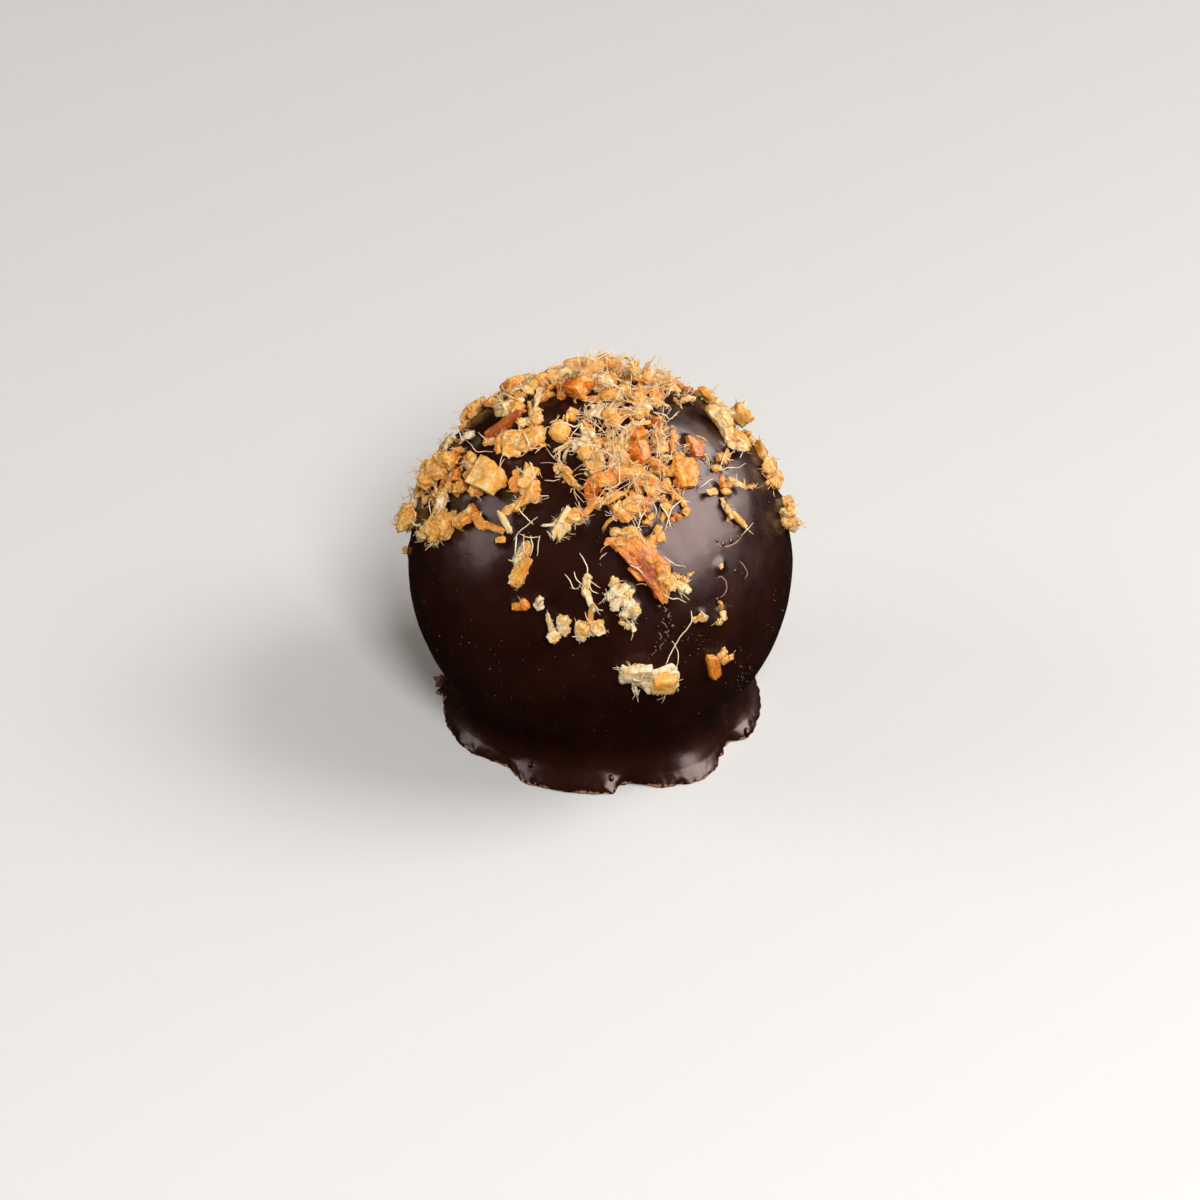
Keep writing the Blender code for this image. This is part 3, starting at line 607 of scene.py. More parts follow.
def torn_lump(size, roundness, tone, lean, fuzz, seed, cuts, bend=0.0):
    """One chopped piece about its own middle: cut facets, torn grain along it, frayed ends."""
    chance = random.Random(seed)
    corners, faces = unit_block(cuts)
    half = np.array(size) / 2
    points = corners * (1.0 - roundness) + unit_rows(corners) * 1.12 * roundness
    points = points * half
    weave = points + np.array([chance.uniform(-50, 50) for _ in range(3)]) * MM
    # Facets cut off at random, fewer on a clean piece
    for _ in range(6 if fuzz > 0.1 else 2):
        normal = np.array([chance.gauss(0, 1) for _ in range(3)]) / half
        normal /= np.linalg.norm(normal)
        reach = points @ normal
        limit = reach.max() * chance.uniform(0.62, 0.88)
        points -= np.outer(np.maximum(reach - limit, 0.0), normal) * 0.94
    # Coarse and fine swells
    outward = unit_rows(points / half**2)
    small = min(half[0], half[1])
    swell = math.sqrt(small * half.min())
    points += outward * (ripple(points, 0.9 * small, seed) * (0.10 + 0.12 * fuzz) * swell)[:, None]
    points += outward * (ripple(points, 0.42 * small, seed + 1) * (0.04 + 0.13 * fuzz) * swell)[:, None]
    points[:, 2] += 0.12 * small * ripple(points * (1, 1, 0.01), 1.2 * small, seed + 2)
    # Grain drawn out along the piece, torn ridges and pits
    stretch = (chance.uniform(0.15, 0.5), 1.0, 1.0)
    grain = ripple(points * stretch, 0.15 * MM, seed + 3)
    along = np.abs(ripple(points * stretch, 0.26 * MM, seed + 4))
    across = np.abs(ripple(points * stretch[::-1], 0.30 * MM, seed + 11))
    ridges = 1.0 - np.minimum(along, across + 0.15) * 2.0
    pits = ripple(points, 0.12 * MM, seed + 5)
    depth = (0.012 + 0.062 * fuzz) * MM
    points += outward * (depth * (0.6 * grain + 0.9 * ridges + 0.5 * pits))[:, None]
    # Frayed ends and sides
    ends = (np.abs(points[:, 0]) / half[0]) ** 4 * np.sign(points[:, 0])
    sides = (np.abs(points[:, 1]) / half[1]) ** 4 * np.sign(points[:, 1])
    frayed = ripple(points * (0.1, 1.0, 1.0), 0.28 * MM, seed + 6)
    points[:, 0] += ends * frayed * (0.03 + 0.13 * fuzz) * MM
    points[:, 1] += sides * ripple(points * (1.0, 0.1, 1.0), 0.3 * MM, seed + 7) * 0.10 * fuzz * MM
    # Tone across and along the piece, paler on the ridges
    tones = tone + lean * points[:, 1] / half[1] - bend * (points[:, 0] / half[0]) ** 2
    tones += 0.10 * ripple(points, 0.8 * MM, seed + 8) + 0.05 * ripple(points, 0.3 * MM, seed + 9)
    tones -= 0.07 * ridges * (0.3 + fuzz)
    torn = fuzz + 0.25 * ripple(points, 0.6 * MM, seed + 10) - lean * points[:, 1] / half[1]
    return Lump(fitted(points, size), faces, np.clip(tones, 0, 1), np.clip(torn, 0, 1), weave)


def fitted(points, size):
    """Points moved and stretched so that they fill a box of that size about the middle."""
    low, high = points.min(axis=0), points.max(axis=0)
    return (points - (low + high) / 2) * np.array(size) / (high - low)


def pointed(points, size, point):
    """Points of a piece whose far end narrows to a point at one side."""
    share = np.clip((points[:, 0] / size[0] - POINT_START) / (0.5 - POINT_START), 0, 1) * abs(point)
    across = points[:, 1] * (1 - share) + share * math.copysign(size[1] / 2, point)
    return np.column_stack((points[:, 0], across, points[:, 2]))


def tilt_matrix(yaw, pitch, roll):
    """Turn about the upright, the cross and the long axis of a piece."""
    return np.array(Euler((roll, pitch, yaw)).to_matrix())


def joined(lumps):
    """Several lumps as one."""
    faces, start = [], 0
    for lump in lumps:
        faces.extend([[int(corner) + start for corner in face] for face in lump.faces])
        start += len(lump.points)
    points = np.vstack([lump.points for lump in lumps])
    tone = np.concatenate([lump.tone for lump in lumps])
    fuzz = np.concatenate([lump.fuzz for lump in lumps])
    return Lump(points, faces, tone, fuzz, np.vstack([lump.weave for lump in lumps]))


def grown_lump(size, roundness, tone, lean, fuzz, seed, cuts, parts, bend=0.0):
    """A piece of several torn lumps grown together along its length, about its own middle."""
    if parts == 1:
        return torn_lump(size, roundness, tone, lean, fuzz, seed, cuts, bend)
    chance = random.Random(seed + 5000)
    size = np.array(size)
    lumps = []
    for index in range(parts):
        share = (index + 0.5) / parts - 0.5
        length = chance.uniform(0.9, 1.25) / parts + 0.2
        reach = (length, chance.uniform(0.55, 0.85), chance.uniform(0.6, 0.9))
        part = torn_lump(
            size * np.array(reach),
            min(1.0, roundness + chance.uniform(-0.2, 0.2)),
            tone + chance.uniform(-0.1, 0.1) - bend * (2 * share) ** 2,
            lean,
            fuzz,
            seed + 31 * (index + 1),
            cuts,
        )
        sway = 0.15 + 0.14 * min(parts, 4)
        yaw = chance.uniform(-sway, sway)
        turn = tilt_matrix(yaw, chance.uniform(-0.4, 0.4), chance.uniform(-0.6, 0.6))
        shift = np.array((share * 0.86, chance.uniform(-0.22, 0.22), chance.uniform(-0.14, 0.2))) * size
        lumps.append(part._replace(points=part.points @ turn.T + shift))
    whole = joined(lumps)
    return whole._replace(points=fitted(whole.points, size))


def tube_lump(path, radius, tone, sides=5):
    """A tapered strand along a path of points."""
    path = np.array(path)
    run = unit_rows(np.gradient(path, axis=0))
    side = unit_rows(np.cross(run, np.array((0.31, 0.17, 0.94))))
    other = np.cross(run, side)
    share = np.linspace(0.0, 1.0, len(path))
    width = radius * (0.35 + 0.65 * np.sin(math.pi * (0.1 + 0.8 * share)))
    turns = [math.tau * k / sides for k in range(sides)]
    rings = [path + (side * math.cos(a) + other * math.sin(a)) * width[:, None] for a in turns]
    points = np.stack(rings, axis=1).reshape(-1, 3)
    faces = []
    for row in range(len(path) - 1):
        for k in range(sides):
            low, high = row * sides, (row + 1) * sides
            faces.append((low + k, low + (k + 1) % sides, high + (k + 1) % sides, high + k))
    count = len(points)
    points = np.vstack((points, path[:1] - run[:1] * radius * 0.4, path[-1:] + run[-1:] * radius * 0.4))
    last = (len(path) - 1) * sides
    for k in range(sides):
        faces.append((count, (k + 1) % sides, k))
        faces.append((count + 1, last + k, last + (k + 1) % sides))
    return Lump(points, faces, np.full(len(points), tone), np.full(len(points), 1.0), points)


def lump_object(name, lumps, finish):
    """Join lumps into one mesh object that carries their tone, fuzz and weave."""
    whole = joined(lumps)
    mesh = bpy.data.meshes.new(name)
    mesh.from_pydata(whole.points.tolist(), [], whole.faces)
    for label in ("tone", "fuzz"):
        layer = mesh.attributes.new(label, "FLOAT", "POINT")
        layer.data.foreach_set("value", getattr(whole, label))
    layer = mesh.attributes.new("weave", "FLOAT_VECTOR", "POINT")
    layer.data.foreach_set("vector", whole.weave.ravel())
    form = bmesh.new()
    form.from_mesh(mesh)
    bmesh.ops.recalc_face_normals(form, faces=form.faces)
    form.to_mesh(mesh)
    form.free()
    mesh.shade_smooth()
    mesh.materials.append(finish)
    thing = bpy.data.objects.new(name, mesh)
    bpy.context.scene.collection.objects.link(thing)
    return thing


def feed(tree, socket, value):
    """Link a socket to another one, or set its value."""
    if isinstance(value, bpy.types.NodeSocket):
        tree.links.new(value, socket)
    elif value is not None:
        socket.default_value = value


def put(tree, kind, settings=None, inputs=None):
    """Add a node with its settings and its inputs, by name or by place."""
    node = tree.nodes.new(kind)
    for label, value in (settings or {}).items():
        setattr(node, label, value)
    for label, value in (inputs or {}).items():
        feed(tree, node.inputs[label], value)
    return node


def reckon(tree, operation, *values, clamp=False):
    """Output of a math node."""
    settings = {"operation": operation, "use_clamp": clamp}
    return put(tree, "ShaderNodeMath", settings, dict(enumerate(values))).outputs[0]


def plus(tree, first, second, clamp=False):
    """Output of a sum."""
    return reckon(tree, "ADD", first, second, clamp=clamp)


def times(tree, first, second, clamp=False):
    """Output of a product."""
    return reckon(tree, "MULTIPLY", first, second, clamp=clamp)


def aimed(tree, operation, inputs, output=0):
    """Output of a vector math node."""
    return put(tree, "ShaderNodeVectorMath", {"operation": operation}, inputs).outputs[output]


def noise(tree, place, size, detail, distortion=0.0):
    """Value of a noise whose lumps are of the given size."""
    inputs = {"Vector": place, "Scale": 1 / size, "Detail": detail, "Distortion": distortion}
    return put(tree, "ShaderNodeTexNoise", None, inputs).outputs["Fac"]


def carried(tree, label, output="Fac"):
    """Value that a piece's own mesh carries, for its material."""
    return put(tree, "ShaderNodeAttribute", {"attribute_name": label}).outputs[output]


def stored(tree, label):
    """Value that a mesh carries, for the node tree that works on it."""
    return put(tree, "GeometryNodeInputNamedAttribute", {"data_type": "FLOAT"}, {"Name": label}).outputs[0]


def opaque(colour):
    """A colour with its alpha."""
    return (*colour, 1.0)


def ramp_between(tree, value, low, high, to_low=0.0, to_high=1.0, kind="SMOOTHSTEP"):
    """Output of a map range node."""
    inputs = {0: value, 1: low, 2: high, 3: to_low, 4: to_high}
    return put(tree, "ShaderNodeMapRange", {"interpolation_type": kind}, inputs).outputs[0]


def new_group(name, kind, inputs, outputs):
    """Node group with named inputs and outputs, and its two end nodes."""
    tree = bpy.data.node_groups.new(name, kind)
    for label, socket, default in inputs:
        entry = tree.interface.new_socket(label, in_out="INPUT", socket_type=socket)
        if default is not None:
            entry.default_value = default
    for label, socket in outputs:
        tree.interface.new_socket(label, in_out="OUTPUT", socket_type=socket)
    return tree, tree.nodes.new("NodeGroupInput"), tree.nodes.new("NodeGroupOutput")


def grown_mesh(name, base, tree, values, finish):
    """Run a node tree on an object and give back the result as a plain mesh object."""
    modifier = base.modifiers.new("form", "NODES")
    modifier.node_group = tree
    for entry in tree.interface.items_tree:
        if entry.item_type == "SOCKET" and entry.in_out == "INPUT" and entry.name in values:
            modifier[entry.identifier] = values[entry.name]
    base.update_tag()
    seen = base.evaluated_get(bpy.context.evaluated_depsgraph_get())
    mesh = bpy.data.meshes.new_from_object(seen)
    mesh.name = name
    base.modifiers.remove(modifier)
    if len(mesh.polygons) == 0:
        raise RuntimeError(f"{name} came out empty")
    mesh.materials.clear()
    mesh.materials.append(finish)
    mesh.shade_smooth()
    thing = bpy.data.objects.new(name, mesh)
    bpy.context.scene.collection.objects.link(thing)
    return thing


def mottle_group():
    """Shared shader group: soft lumps of colour or gloss, as a value from low to high."""
    if "truffle_mottle" in bpy.data.node_groups:
        return bpy.data.node_groups["truffle_mottle"]
    inputs = (("Size", FLOAT, 1.0 * MM), ("Detail", FLOAT, 3.0), ("Low", FLOAT, 0.0), ("High", FLOAT, 1.0))
    tree, start, end = new_group("truffle_mottle", "ShaderNodeTree", inputs, (("Value", FLOAT),))
    given = start.outputs
    place = tree.nodes.new("ShaderNodeTexCoord").outputs["Object"]
    scale = reckon(tree, "DIVIDE", 1.0, given["Size"])
    inputs = {"Vector": place, "Scale": scale, "Detail": given["Detail"]}
    lumps = put(tree, "ShaderNodeTexNoise", None, inputs).outputs["Fac"]
    feed(tree, end.inputs["Value"], ramp_between(tree, lumps, 0.3, 0.7, given["Low"], given["High"]))
    return tree


def fleck_group():
    """Shared shader group: scattered round flecks, as a mask."""
    if "truffle_fleck" in bpy.data.node_groups:
        return bpy.data.node_groups["truffle_fleck"]
    inputs = (("Spacing", FLOAT, 0.6 * MM), ("Share", FLOAT, 0.3), ("Reach", FLOAT, 0.12))
    tree, start, end = new_group("truffle_fleck", "ShaderNodeTree", inputs, (("Mask", FLOAT),))
    given = start.outputs
    place = tree.nodes.new("ShaderNodeTexCoord").outputs["Object"]
    scale = reckon(tree, "DIVIDE", 1.0, given["Spacing"])
    cells = put(tree, "ShaderNodeTexVoronoi", None, {"Vector": place, "Scale": scale})
    chance = put(tree, "ShaderNodeSeparateColor", None, {0: cells.outputs["Color"]})
    near = ramp_between(tree, cells.outputs["Distance"], 0.0, given["Reach"], 1.0, 0.0)
    chosen = reckon(tree, "LESS_THAN", chance.outputs[0], given["Share"])
    feed(tree, end.inputs["Mask"], times(tree, near, chosen))
    return tree


def mottled(tree, size, detail, low=0.0, high=1.0):
    """Value of the mottle group placed in a material."""
    values = {"Size": size, "Detail": detail, "Low": low, "High": high}
    return put(tree, "ShaderNodeGroup", {"node_tree": mottle_group()}, values).outputs["Value"]


def flecked(tree, spacing, share, reach):
    """Mask of the fleck group placed in a material."""
    values = {"Spacing": spacing, "Share": share, "Reach": reach}
    return put(tree, "ShaderNodeGroup", {"node_tree": fleck_group()}, values).outputs["Mask"]


def blend_colour(tree, share, first, second):
    """Output of a colour mix."""
    settings = {"data_type": "RGBA", "blend_type": "MIX"}
    return put(tree, "ShaderNodeMix", settings, {0: share, 6: first, 7: second}).outputs[2]


def raised(tree, height, strength, distance, under=None):
    """Normal of a bump."""
    inputs = {"Strength": strength, "Distance": distance, "Height": height, "Normal": under}
    return put(tree, "ShaderNodeBump", None, inputs).outputs["Normal"]


def new_finish(name):
    """New material, its node tree and its Principled shader."""
    material = bpy.data.materials.new(name)
    material.use_nodes = True
    return material, material.node_tree, material.node_tree.nodes["Principled BSDF"]


def chocolate_finish(settings):
    """Satin dark chocolate: faint mottling, fine grain, pale dust, and a pale broken rim that also paints a
    highlight line along the ridges.
    """
    if "satin_chocolate" in bpy.data.materials:
        return bpy.data.materials["satin_chocolate"]
    material, tree, shader = new_finish("satin_chocolate")
    clouds = mottled(tree, size=3.5 * MM, detail=4.0)
    colour = blend_colour(tree, clouds, opaque(settings.dark_colour), opaque(settings.warm_colour))
    patches = mottled(tree, size=2.6 * MM, detail=2.0, low=-0.25, high=1.0)
    dust = times(tree, flecked(tree, spacing=0.34 * MM, share=0.10, reach=0.16), patches, clamp=True)
    specks = flecked(tree, spacing=1.1 * MM, share=0.16, reach=0.07)
    pale = reckon(tree, "MAXIMUM", times(tree, dust, 0.28), times(tree, specks, 0.7))
    colour = blend_colour(tree, pale, colour, opaque(settings.dust_colour))
    # Pale rim colour: the foot's broken edge and flakes, and a painted highlight line on the ridges, whose
    # tubes carry rim 1
    broken = mottled(tree, size=0.45 * MM, detail=2.0)
    broken = reckon(tree, "MULTIPLY_ADD", broken, 0.30, carried(tree, "rim"))
    rim = ramp_between(tree, broken, 0.92, 1.05)
    colour = blend_colour(tree, rim, colour, opaque(settings.broken_rim_and_ridge_glint_colour))
    feed(tree, shader.inputs["Base Color"], colour)
    smooth, rough = settings.roughness - 0.03, settings.roughness + 0.05
    gloss = mottled(tree, size=1.4 * MM, detail=5.0, low=smooth, high=rough)
    gloss = plus(tree, gloss, times(tree, pale, 0.4), clamp=True)
    gloss = plus(tree, gloss, times(tree, rim, 0.3), clamp=True)
    feed(tree, shader.inputs["Roughness"], gloss)
    swell = mottled(tree, size=1.1 * MM, detail=1.0)
    normal = raised(tree, swell, strength=0.16, distance=0.05 * MM)
    grain = mottled(tree, size=0.14 * MM, detail=2.0)
    normal = raised(tree, grain, strength=0.07, distance=0.02 * MM, under=normal)
    normal = raised(tree, pale, strength=0.5, distance=0.03 * MM, under=normal)
    feed(tree, shader.inputs["Normal"], normal)
    shader.inputs["IOR"].default_value = CHOCOLATE_IOR
    return material


def tone_ramp(tree, settings, tone):
    """Colour of ginger by its tone, from near white to dark amber."""
    stops = (
        (0.0, settings.white_colour),
        (0.22, settings.cream_colour),
        (0.42, settings.golden_colour),
        (0.66, settings.amber_colour),
        (0.88, settings.brown_colour),
    )
    ramp = tree.nodes.new("ShaderNodeValToRGB")
    elements = ramp.color_ramp.elements
    elements[0].position = stops[0][0]
    elements[1].position = stops[-1][0]
    for place, _ in stops[1:-1]:
        elements.new(place)
    for element, (_, colour) in zip(elements, stops):
        element.color = opaque(colour)
    feed(tree, ramp.inputs["Fac"], tone)
    return ramp.outputs["Color"]


def ginger_finish(settings, clear=False):
    """Candied ginger: clear amber to dry cream by its tone, with pale torn fibres over it."""
    name = "clear_ginger" if clear else "candied_ginger"
    if name in bpy.data.materials:
        return bpy.data.materials[name]
    material, tree, shader = new_finish(name)
    look = CLEAR_LOOK if clear else DRY_LOOK
    fuzz = carried(tree, "fuzz")
    # Strands follow each piece's own grain, drawn out along it. The tone rises where they are low, in the
    # valleys that the relief bump sinks: painted shade, partly the real streaks of the grain.
    drawn = aimed(tree, "MULTIPLY", {0: carried(tree, "weave", "Vector"), 1: (0.14, 1.0, 1.0)})
    strands = noise(tree, drawn, size=0.20 * MM, detail=3.0, distortion=0.5)
    depth = ramp_between(tree, fuzz, 0.0, 0.6, 0.2, look.streak)
    # Painted shade: darker, more golden tone in the strands' valleys, partly real streaks along the grain
    streak = times(tree, reckon(tree, "SUBTRACT", 0.52, strands), depth)
    cloud = plus(tree, mottled(tree, size=0.5 * MM, detail=4.0, low=-0.09, high=0.09), streak)
    tone = plus(tree, plus(tree, carried(tree, "tone"), carried(tree, "tint")), cloud, clamp=True)
    colour = tone_ramp(tree, settings, tone)
    place = tree.nodes.new("ShaderNodeTexCoord").outputs["Object"]
    threads = noise(tree, place, size=0.55 * MM, detail=3.0, distortion=1.6)
    line = reckon(tree, "ABSOLUTE", reckon(tree, "SUBTRACT", threads, 0.5))
    line = ramp_between(tree, line, 0.004, 0.022, 1.0, 0.0)
    line = times(tree, line, ramp_between(tree, fuzz, 0.1, 0.9, 0.05, look.thread))
    colour = blend_colour(tree, line, colour, opaque(settings.fibre_colour))
    combed = ramp_between(tree, strands, 0.54, 0.64)
    combed = times(tree, combed, ramp_between(tree, fuzz, 0.2, 0.9, 0.0, look.combed))
    colour = blend_colour(tree, combed, colour, opaque(settings.cream_colour))
    crumbs = times(tree, flecked(tree, spacing=0.22 * MM, share=0.35, reach=0.3), look.crumbs)
    colour = blend_colour(tree, crumbs, colour, opaque(settings.white_colour))
    feed(tree, shader.inputs["Base Color"], colour)
    wet = mottled(tree, size=0.3 * MM, detail=3.0, low=-0.12, high=0.12)
    rough = ramp_between(tree, fuzz, 0.0, 0.8, look.smooth, look.torn)
    feed(tree, shader.inputs["Roughness"], plus(tree, rough, wet, clamp=True))
    crinkle = mottled(tree, size=0.34 * MM, detail=5.0)
    normal = raised(tree, crinkle, strength=0.3, distance=0.08 * MM)
    torn = ramp_between(tree, fuzz, 0.1, 0.8, 0.15, 1.0)
    torn = times(tree, ramp_between(tree, strands, 0.3, 0.7), torn)
    normal = raised(tree, torn, strength=look.relief, distance=0.09 * MM, under=normal)
    grit = mottled(tree, size=0.10 * MM, detail=3.0)
    normal = raised(tree, grit, strength=0.3, distance=0.03 * MM, under=normal)
    normal = raised(tree, line, strength=0.6, distance=0.05 * MM, under=normal)
    feed(tree, shader.inputs["Normal"], normal)
    shader.inputs["IOR"].default_value = GINGER_IOR
    shader.inputs["Subsurface Weight"].default_value = settings.clear_glow if clear else settings.glow
    shader.inputs["Subsurface Radius"].default_value = look.spread
    shader.inputs["Subsurface Scale"].default_value = settings.clear_depth if clear else settings.glow_depth
    return material


def fibre_finish(settings):
    """Dry pale fibre, a little warmer where the tint is high."""
    if "dry_fibre" in bpy.data.materials:
        return bpy.data.materials["dry_fibre"]
    material, tree, shader = new_finish("dry_fibre")
    warmth = reckon(tree, "MULTIPLY_ADD", carried(tree, "tint"), 1.2, carried(tree, "tone"))
    cloud = mottled(tree, size=0.4 * MM, detail=2.0, low=-0.15, high=0.25)
    warmth = plus(tree, warmth, cloud, clamp=True)
    colour = blend_colour(tree, warmth, opaque(settings.fibre_colour), opaque(settings.cream_colour))
    feed(tree, shader.inputs["Base Color"], colour)
    gloss = mottled(tree, size=0.2 * MM, detail=2.0, low=0.35, high=0.6)
    feed(tree, shader.inputs["Roughness"], gloss)
    shader.inputs["IOR"].default_value = GINGER_IOR
    return material


class TruffleCoating(bpy.types.PropertyGroup):
    """Sizes and colours of the chocolate."""

    waviness: FloatProperty(
        name="Waviness", description="How far the ball swells and dips", default=0.07 * MM, unit="LENGTH"
    )
    collar: FloatProperty(
        name="Collar",
        description="How far the chocolate is drawn up round the ginger",
        default=0.14 * MM,
        unit="LENGTH",
    )
    chips: FloatProperty(
        name="Chips", description="How ragged the foot's edge is", default=0.16 * MM, unit="LENGTH"
    )
    roughness: FloatProperty(
        name="Roughness", description="Satin of the chocolate", default=0.29, min=0.0, max=1.0
    )
    dark_colour: FloatVectorProperty(
        name="Dark", description="Deepest chocolate", subtype="COLOR", default=(0.0150, 0.0033, 0.0017)
    )
    warm_colour: FloatVectorProperty(
        name="Warm", description="Warmer chocolate", subtype="COLOR", default=(0.0250, 0.0060, 0.0032)
    )
    dust_colour: FloatVectorProperty(
        name="Dust", description="Ginger dust on the chocolate", subtype="COLOR", default=(0.42, 0.30, 0.20)
    )
    # Broken edge of the foot and its flakes; the same pale colour is painted along the ridges as a highlight
    # line
    broken_rim_and_ridge_glint_colour: FloatVectorProperty(
        name="Rim", description="Broken edge of the foot", subtype="COLOR", default=(0.30, 0.165, 0.095)
    )


class TruffleGinger(bpy.types.PropertyGroup):
    """Sizes and colours of the ginger."""

    small_crumbs: FloatProperty(
        name="Small crumbs",
        description="Small crumbs on each square millimetre of a heap",
        default=1.3,
        min=0.0,
    )
    back_crumbs: IntProperty(
        name="Back crumbs", description="Number of crumbs on the far side", default=85, min=1
    )
    fuzz_fibres: FloatProperty(
        name="Fibres", description="Tufts on each square millimetre of torn ginger", default=2.0, min=0.0
    )
    crown_fibres: FloatProperty(
        name="Crown fibres",
        description="Longer tufts on each square millimetre of the crown",
        default=2.6,
        min=0.0,
    )
    shreds: FloatProperty(
        name="Shreds", description="Torn shreds on each square millimetre of the crown", default=1.2, min=0.0
    )
    slivers: FloatProperty(
        name="Slivers", description="Slivers on each square millimetre of torn ginger", default=0.40, min=0.0
    )
    grains: FloatProperty(
        name="Grains", description="Grains on each square millimetre of torn ginger", default=0.9, min=0.0
    )
    fibre_width: FloatProperty(
        name="Fibre width", description="Thickness of a fibre", default=0.085 * MM, unit="LENGTH"
    )
    glow: FloatProperty(
        name="Glow", description="How much light passes through", default=0.80, min=0.0, max=1.0
    )
    glow_depth: FloatProperty(
        name="Glow depth", description="How far light travels inside", default=0.22 * MM, unit="LENGTH"
    )
    clear_glow: FloatProperty(
        name="Clear glow",
        description="How much light passes through clear ginger",
        default=0.9,
        min=0.0,
        max=1.0,
    )
    clear_depth: FloatProperty(
        name="Clear depth",
        description="How far light travels inside clear ginger",
        default=0.4 * MM,
        unit="LENGTH",
    )
    white_colour: FloatVectorProperty(
        name="White", description="Driest fibre", subtype="COLOR", default=(1.0, 0.83, 0.60)
    )
    cream_colour: FloatVectorProperty(
        name="Cream", description="Dry ginger", subtype="COLOR", default=(0.91, 0.53, 0.145)
    )
    golden_colour: FloatVectorProperty(
        name="Golden", description="Moist ginger", subtype="COLOR", default=(0.83, 0.36, 0.045)
    )
    amber_colour: FloatVectorProperty(
        name="Amber", description="Clear ginger", subtype="COLOR", default=(0.78, 0.24, 0.02)
    )
    brown_colour: FloatVectorProperty(
        name="Brown", description="Darkest ginger", subtype="COLOR", default=(0.38, 0.065, 0.005)
    )
    fibre_colour: FloatVectorProperty(
        name="Fibre", description="Loose fibres", subtype="COLOR", default=(1.0, 0.84, 0.60)
    )


class TruffleStage(bpy.types.PropertyGroup):
    """Floor and light."""

    floor_colour: FloatVectorProperty(
        name="Floor", description="Colour of the floor", subtype="COLOR", default=(0.72, 0.712, 0.70)
    )
    right_light: FloatProperty(
        name="Right light", description="Soft light at the right", default=1.6, unit="POWER"
    )
    right_panel: FloatProperty(
        name="Right panel", description="Panel seen in the gloss at the right", default=9.8, unit="POWER"
    )
    left_light: FloatProperty(
        name="Left light", description="Soft light at the left", default=0.55, unit="POWER"
    )
    left_panel: FloatProperty(
        name="Left panel", description="Panel seen in the gloss at the left", default=0.85, unit="POWER"
    )
    key_light: FloatProperty(
        name="Key light", description="Light above the front", default=2.45, unit="POWER"
    )
    sky: FloatProperty(name="Sky", description="Even light from all round", default=0.14, min=0.0)
    sky_gloss: FloatProperty(
        name="Sky in gloss", description="Even light seen in gloss", default=0.008, min=0.0
    )


def placed_lump(crumb, seed, cuts):
    """A crumb where the photograph shows it, tipped a little at random."""
    chance = random.Random(seed)
    height = min(crumb.width, crumb.length) * chance.uniform(0.7, 0.95)
    size = (CRUMB_SWELL * crumb.length * MM, CRUMB_SWELL * crumb.width * MM, height * MM)
    parts = 1 if crumb.fuzz < 0.35 or crumb.width < 0.7 else chance.choice((2, 3, 3))
    roundness, lean = chance.uniform(0.15, 0.55), chance.uniform(-0.1, 0.1)
    lump = grown_lump(size, roundness, crumb.tone + 0.04, lean, crumb.fuzz, seed, cuts, parts)
    middle, axes = pixel_axes(crumb.x, crumb.y, crumb.angle, crumb.rise * MM)
    turn = tilt_matrix(0.0, chance.uniform(-0.25, 0.25), chance.uniform(-0.3, 0.3))
    return lump._replace(points=middle + lump.points @ turn.T @ axes.T)


def hidden_direction(chance, highest, lowest):
    """A random direction from the ball's middle on the side that the photograph hides."""
    low, high = (math.cos(math.radians(angle)) for angle in (lowest, highest))
    while True:
        polar = math.degrees(math.acos(chance.uniform(low, high)))
        azimuth = chance.uniform(-12, 192)
        axes = seat_axes(polar, azimuth, chance.uniform(0, 360))
        if axes[:, 2] @ VIEW_OUT < 0.12:
            return axes


def back_lumps(count):
    """Crumbs on the side that the photograph hides, as dense as on the side it shows."""
    chance = random.Random(BACK_DRAWS)
    lumps = []
    for index in range(count):
        axes = hidden_direction(chance, highest=8, lowest=72)
        length = chance.uniform(1.0, 2.5)
        width = length * chance.uniform(0.4, 0.8)
        tone = min(0.9, max(0.05, chance.gauss(0.33, 0.14)))
        size = (length * MM, width * MM, width * chance.uniform(0.6, 0.9) * MM)
        roundness, fuzz = chance.uniform(0.15, 0.55), chance.uniform(0.3, 1.0)
        seed = BACK_SEED + CRUMB_STEP * index
        lump = grown_lump(size, roundness, tone, 0.08, fuzz, seed, BACK_CUTS, chance.choice((1, 2, 3)))
        points = lump.points + np.array((0.0, 0.0, size[2] * chance.uniform(0.2, 0.7)))
        lumps.append(lump._replace(points=wrap_on_ball(axes, points)))
    return lumps


class TRUFFLE_OT_pieces(bpy.types.Operator):
    """Make the larger ginger pieces, each where its solid is"""

    bl_idname = "truffle.pieces"
    bl_label = "Larger ginger"

    def execute(self, context):
        settings = context.scene.truffle_ginger
        for index, piece in enumerate(PIECES):
            finish = ginger_finish(settings, piece.tone > CLEAR_TONE)
            size = (piece.length * MM, piece.width * MM, piece.height * MM)
            lump = grown_lump(
                size,
                piece.roundness,
                piece.tone,
                piece.lean,
                piece.fuzz,
                PIECE_SEED + PIECE_STEP * index,
                WHOLE_CUTS if piece.parts == 1 else JOINED_CUTS,
                piece.parts,
                piece.bend,
            )
            points = pointed(lump.points, size, piece.point) + np.array((0.0, 0.0, SEAT_RISE * size[2]))
            axes = seat_axes(piece.polar, piece.azimuth, piece.turn)
            lump = lump._replace(points=wrap_on_ball(axes, points))
            thing = lump_object(piece.node + "_torn", [lump], finish)
            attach(thing, "root")
            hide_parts(piece.node)
        return {"FINISHED"}


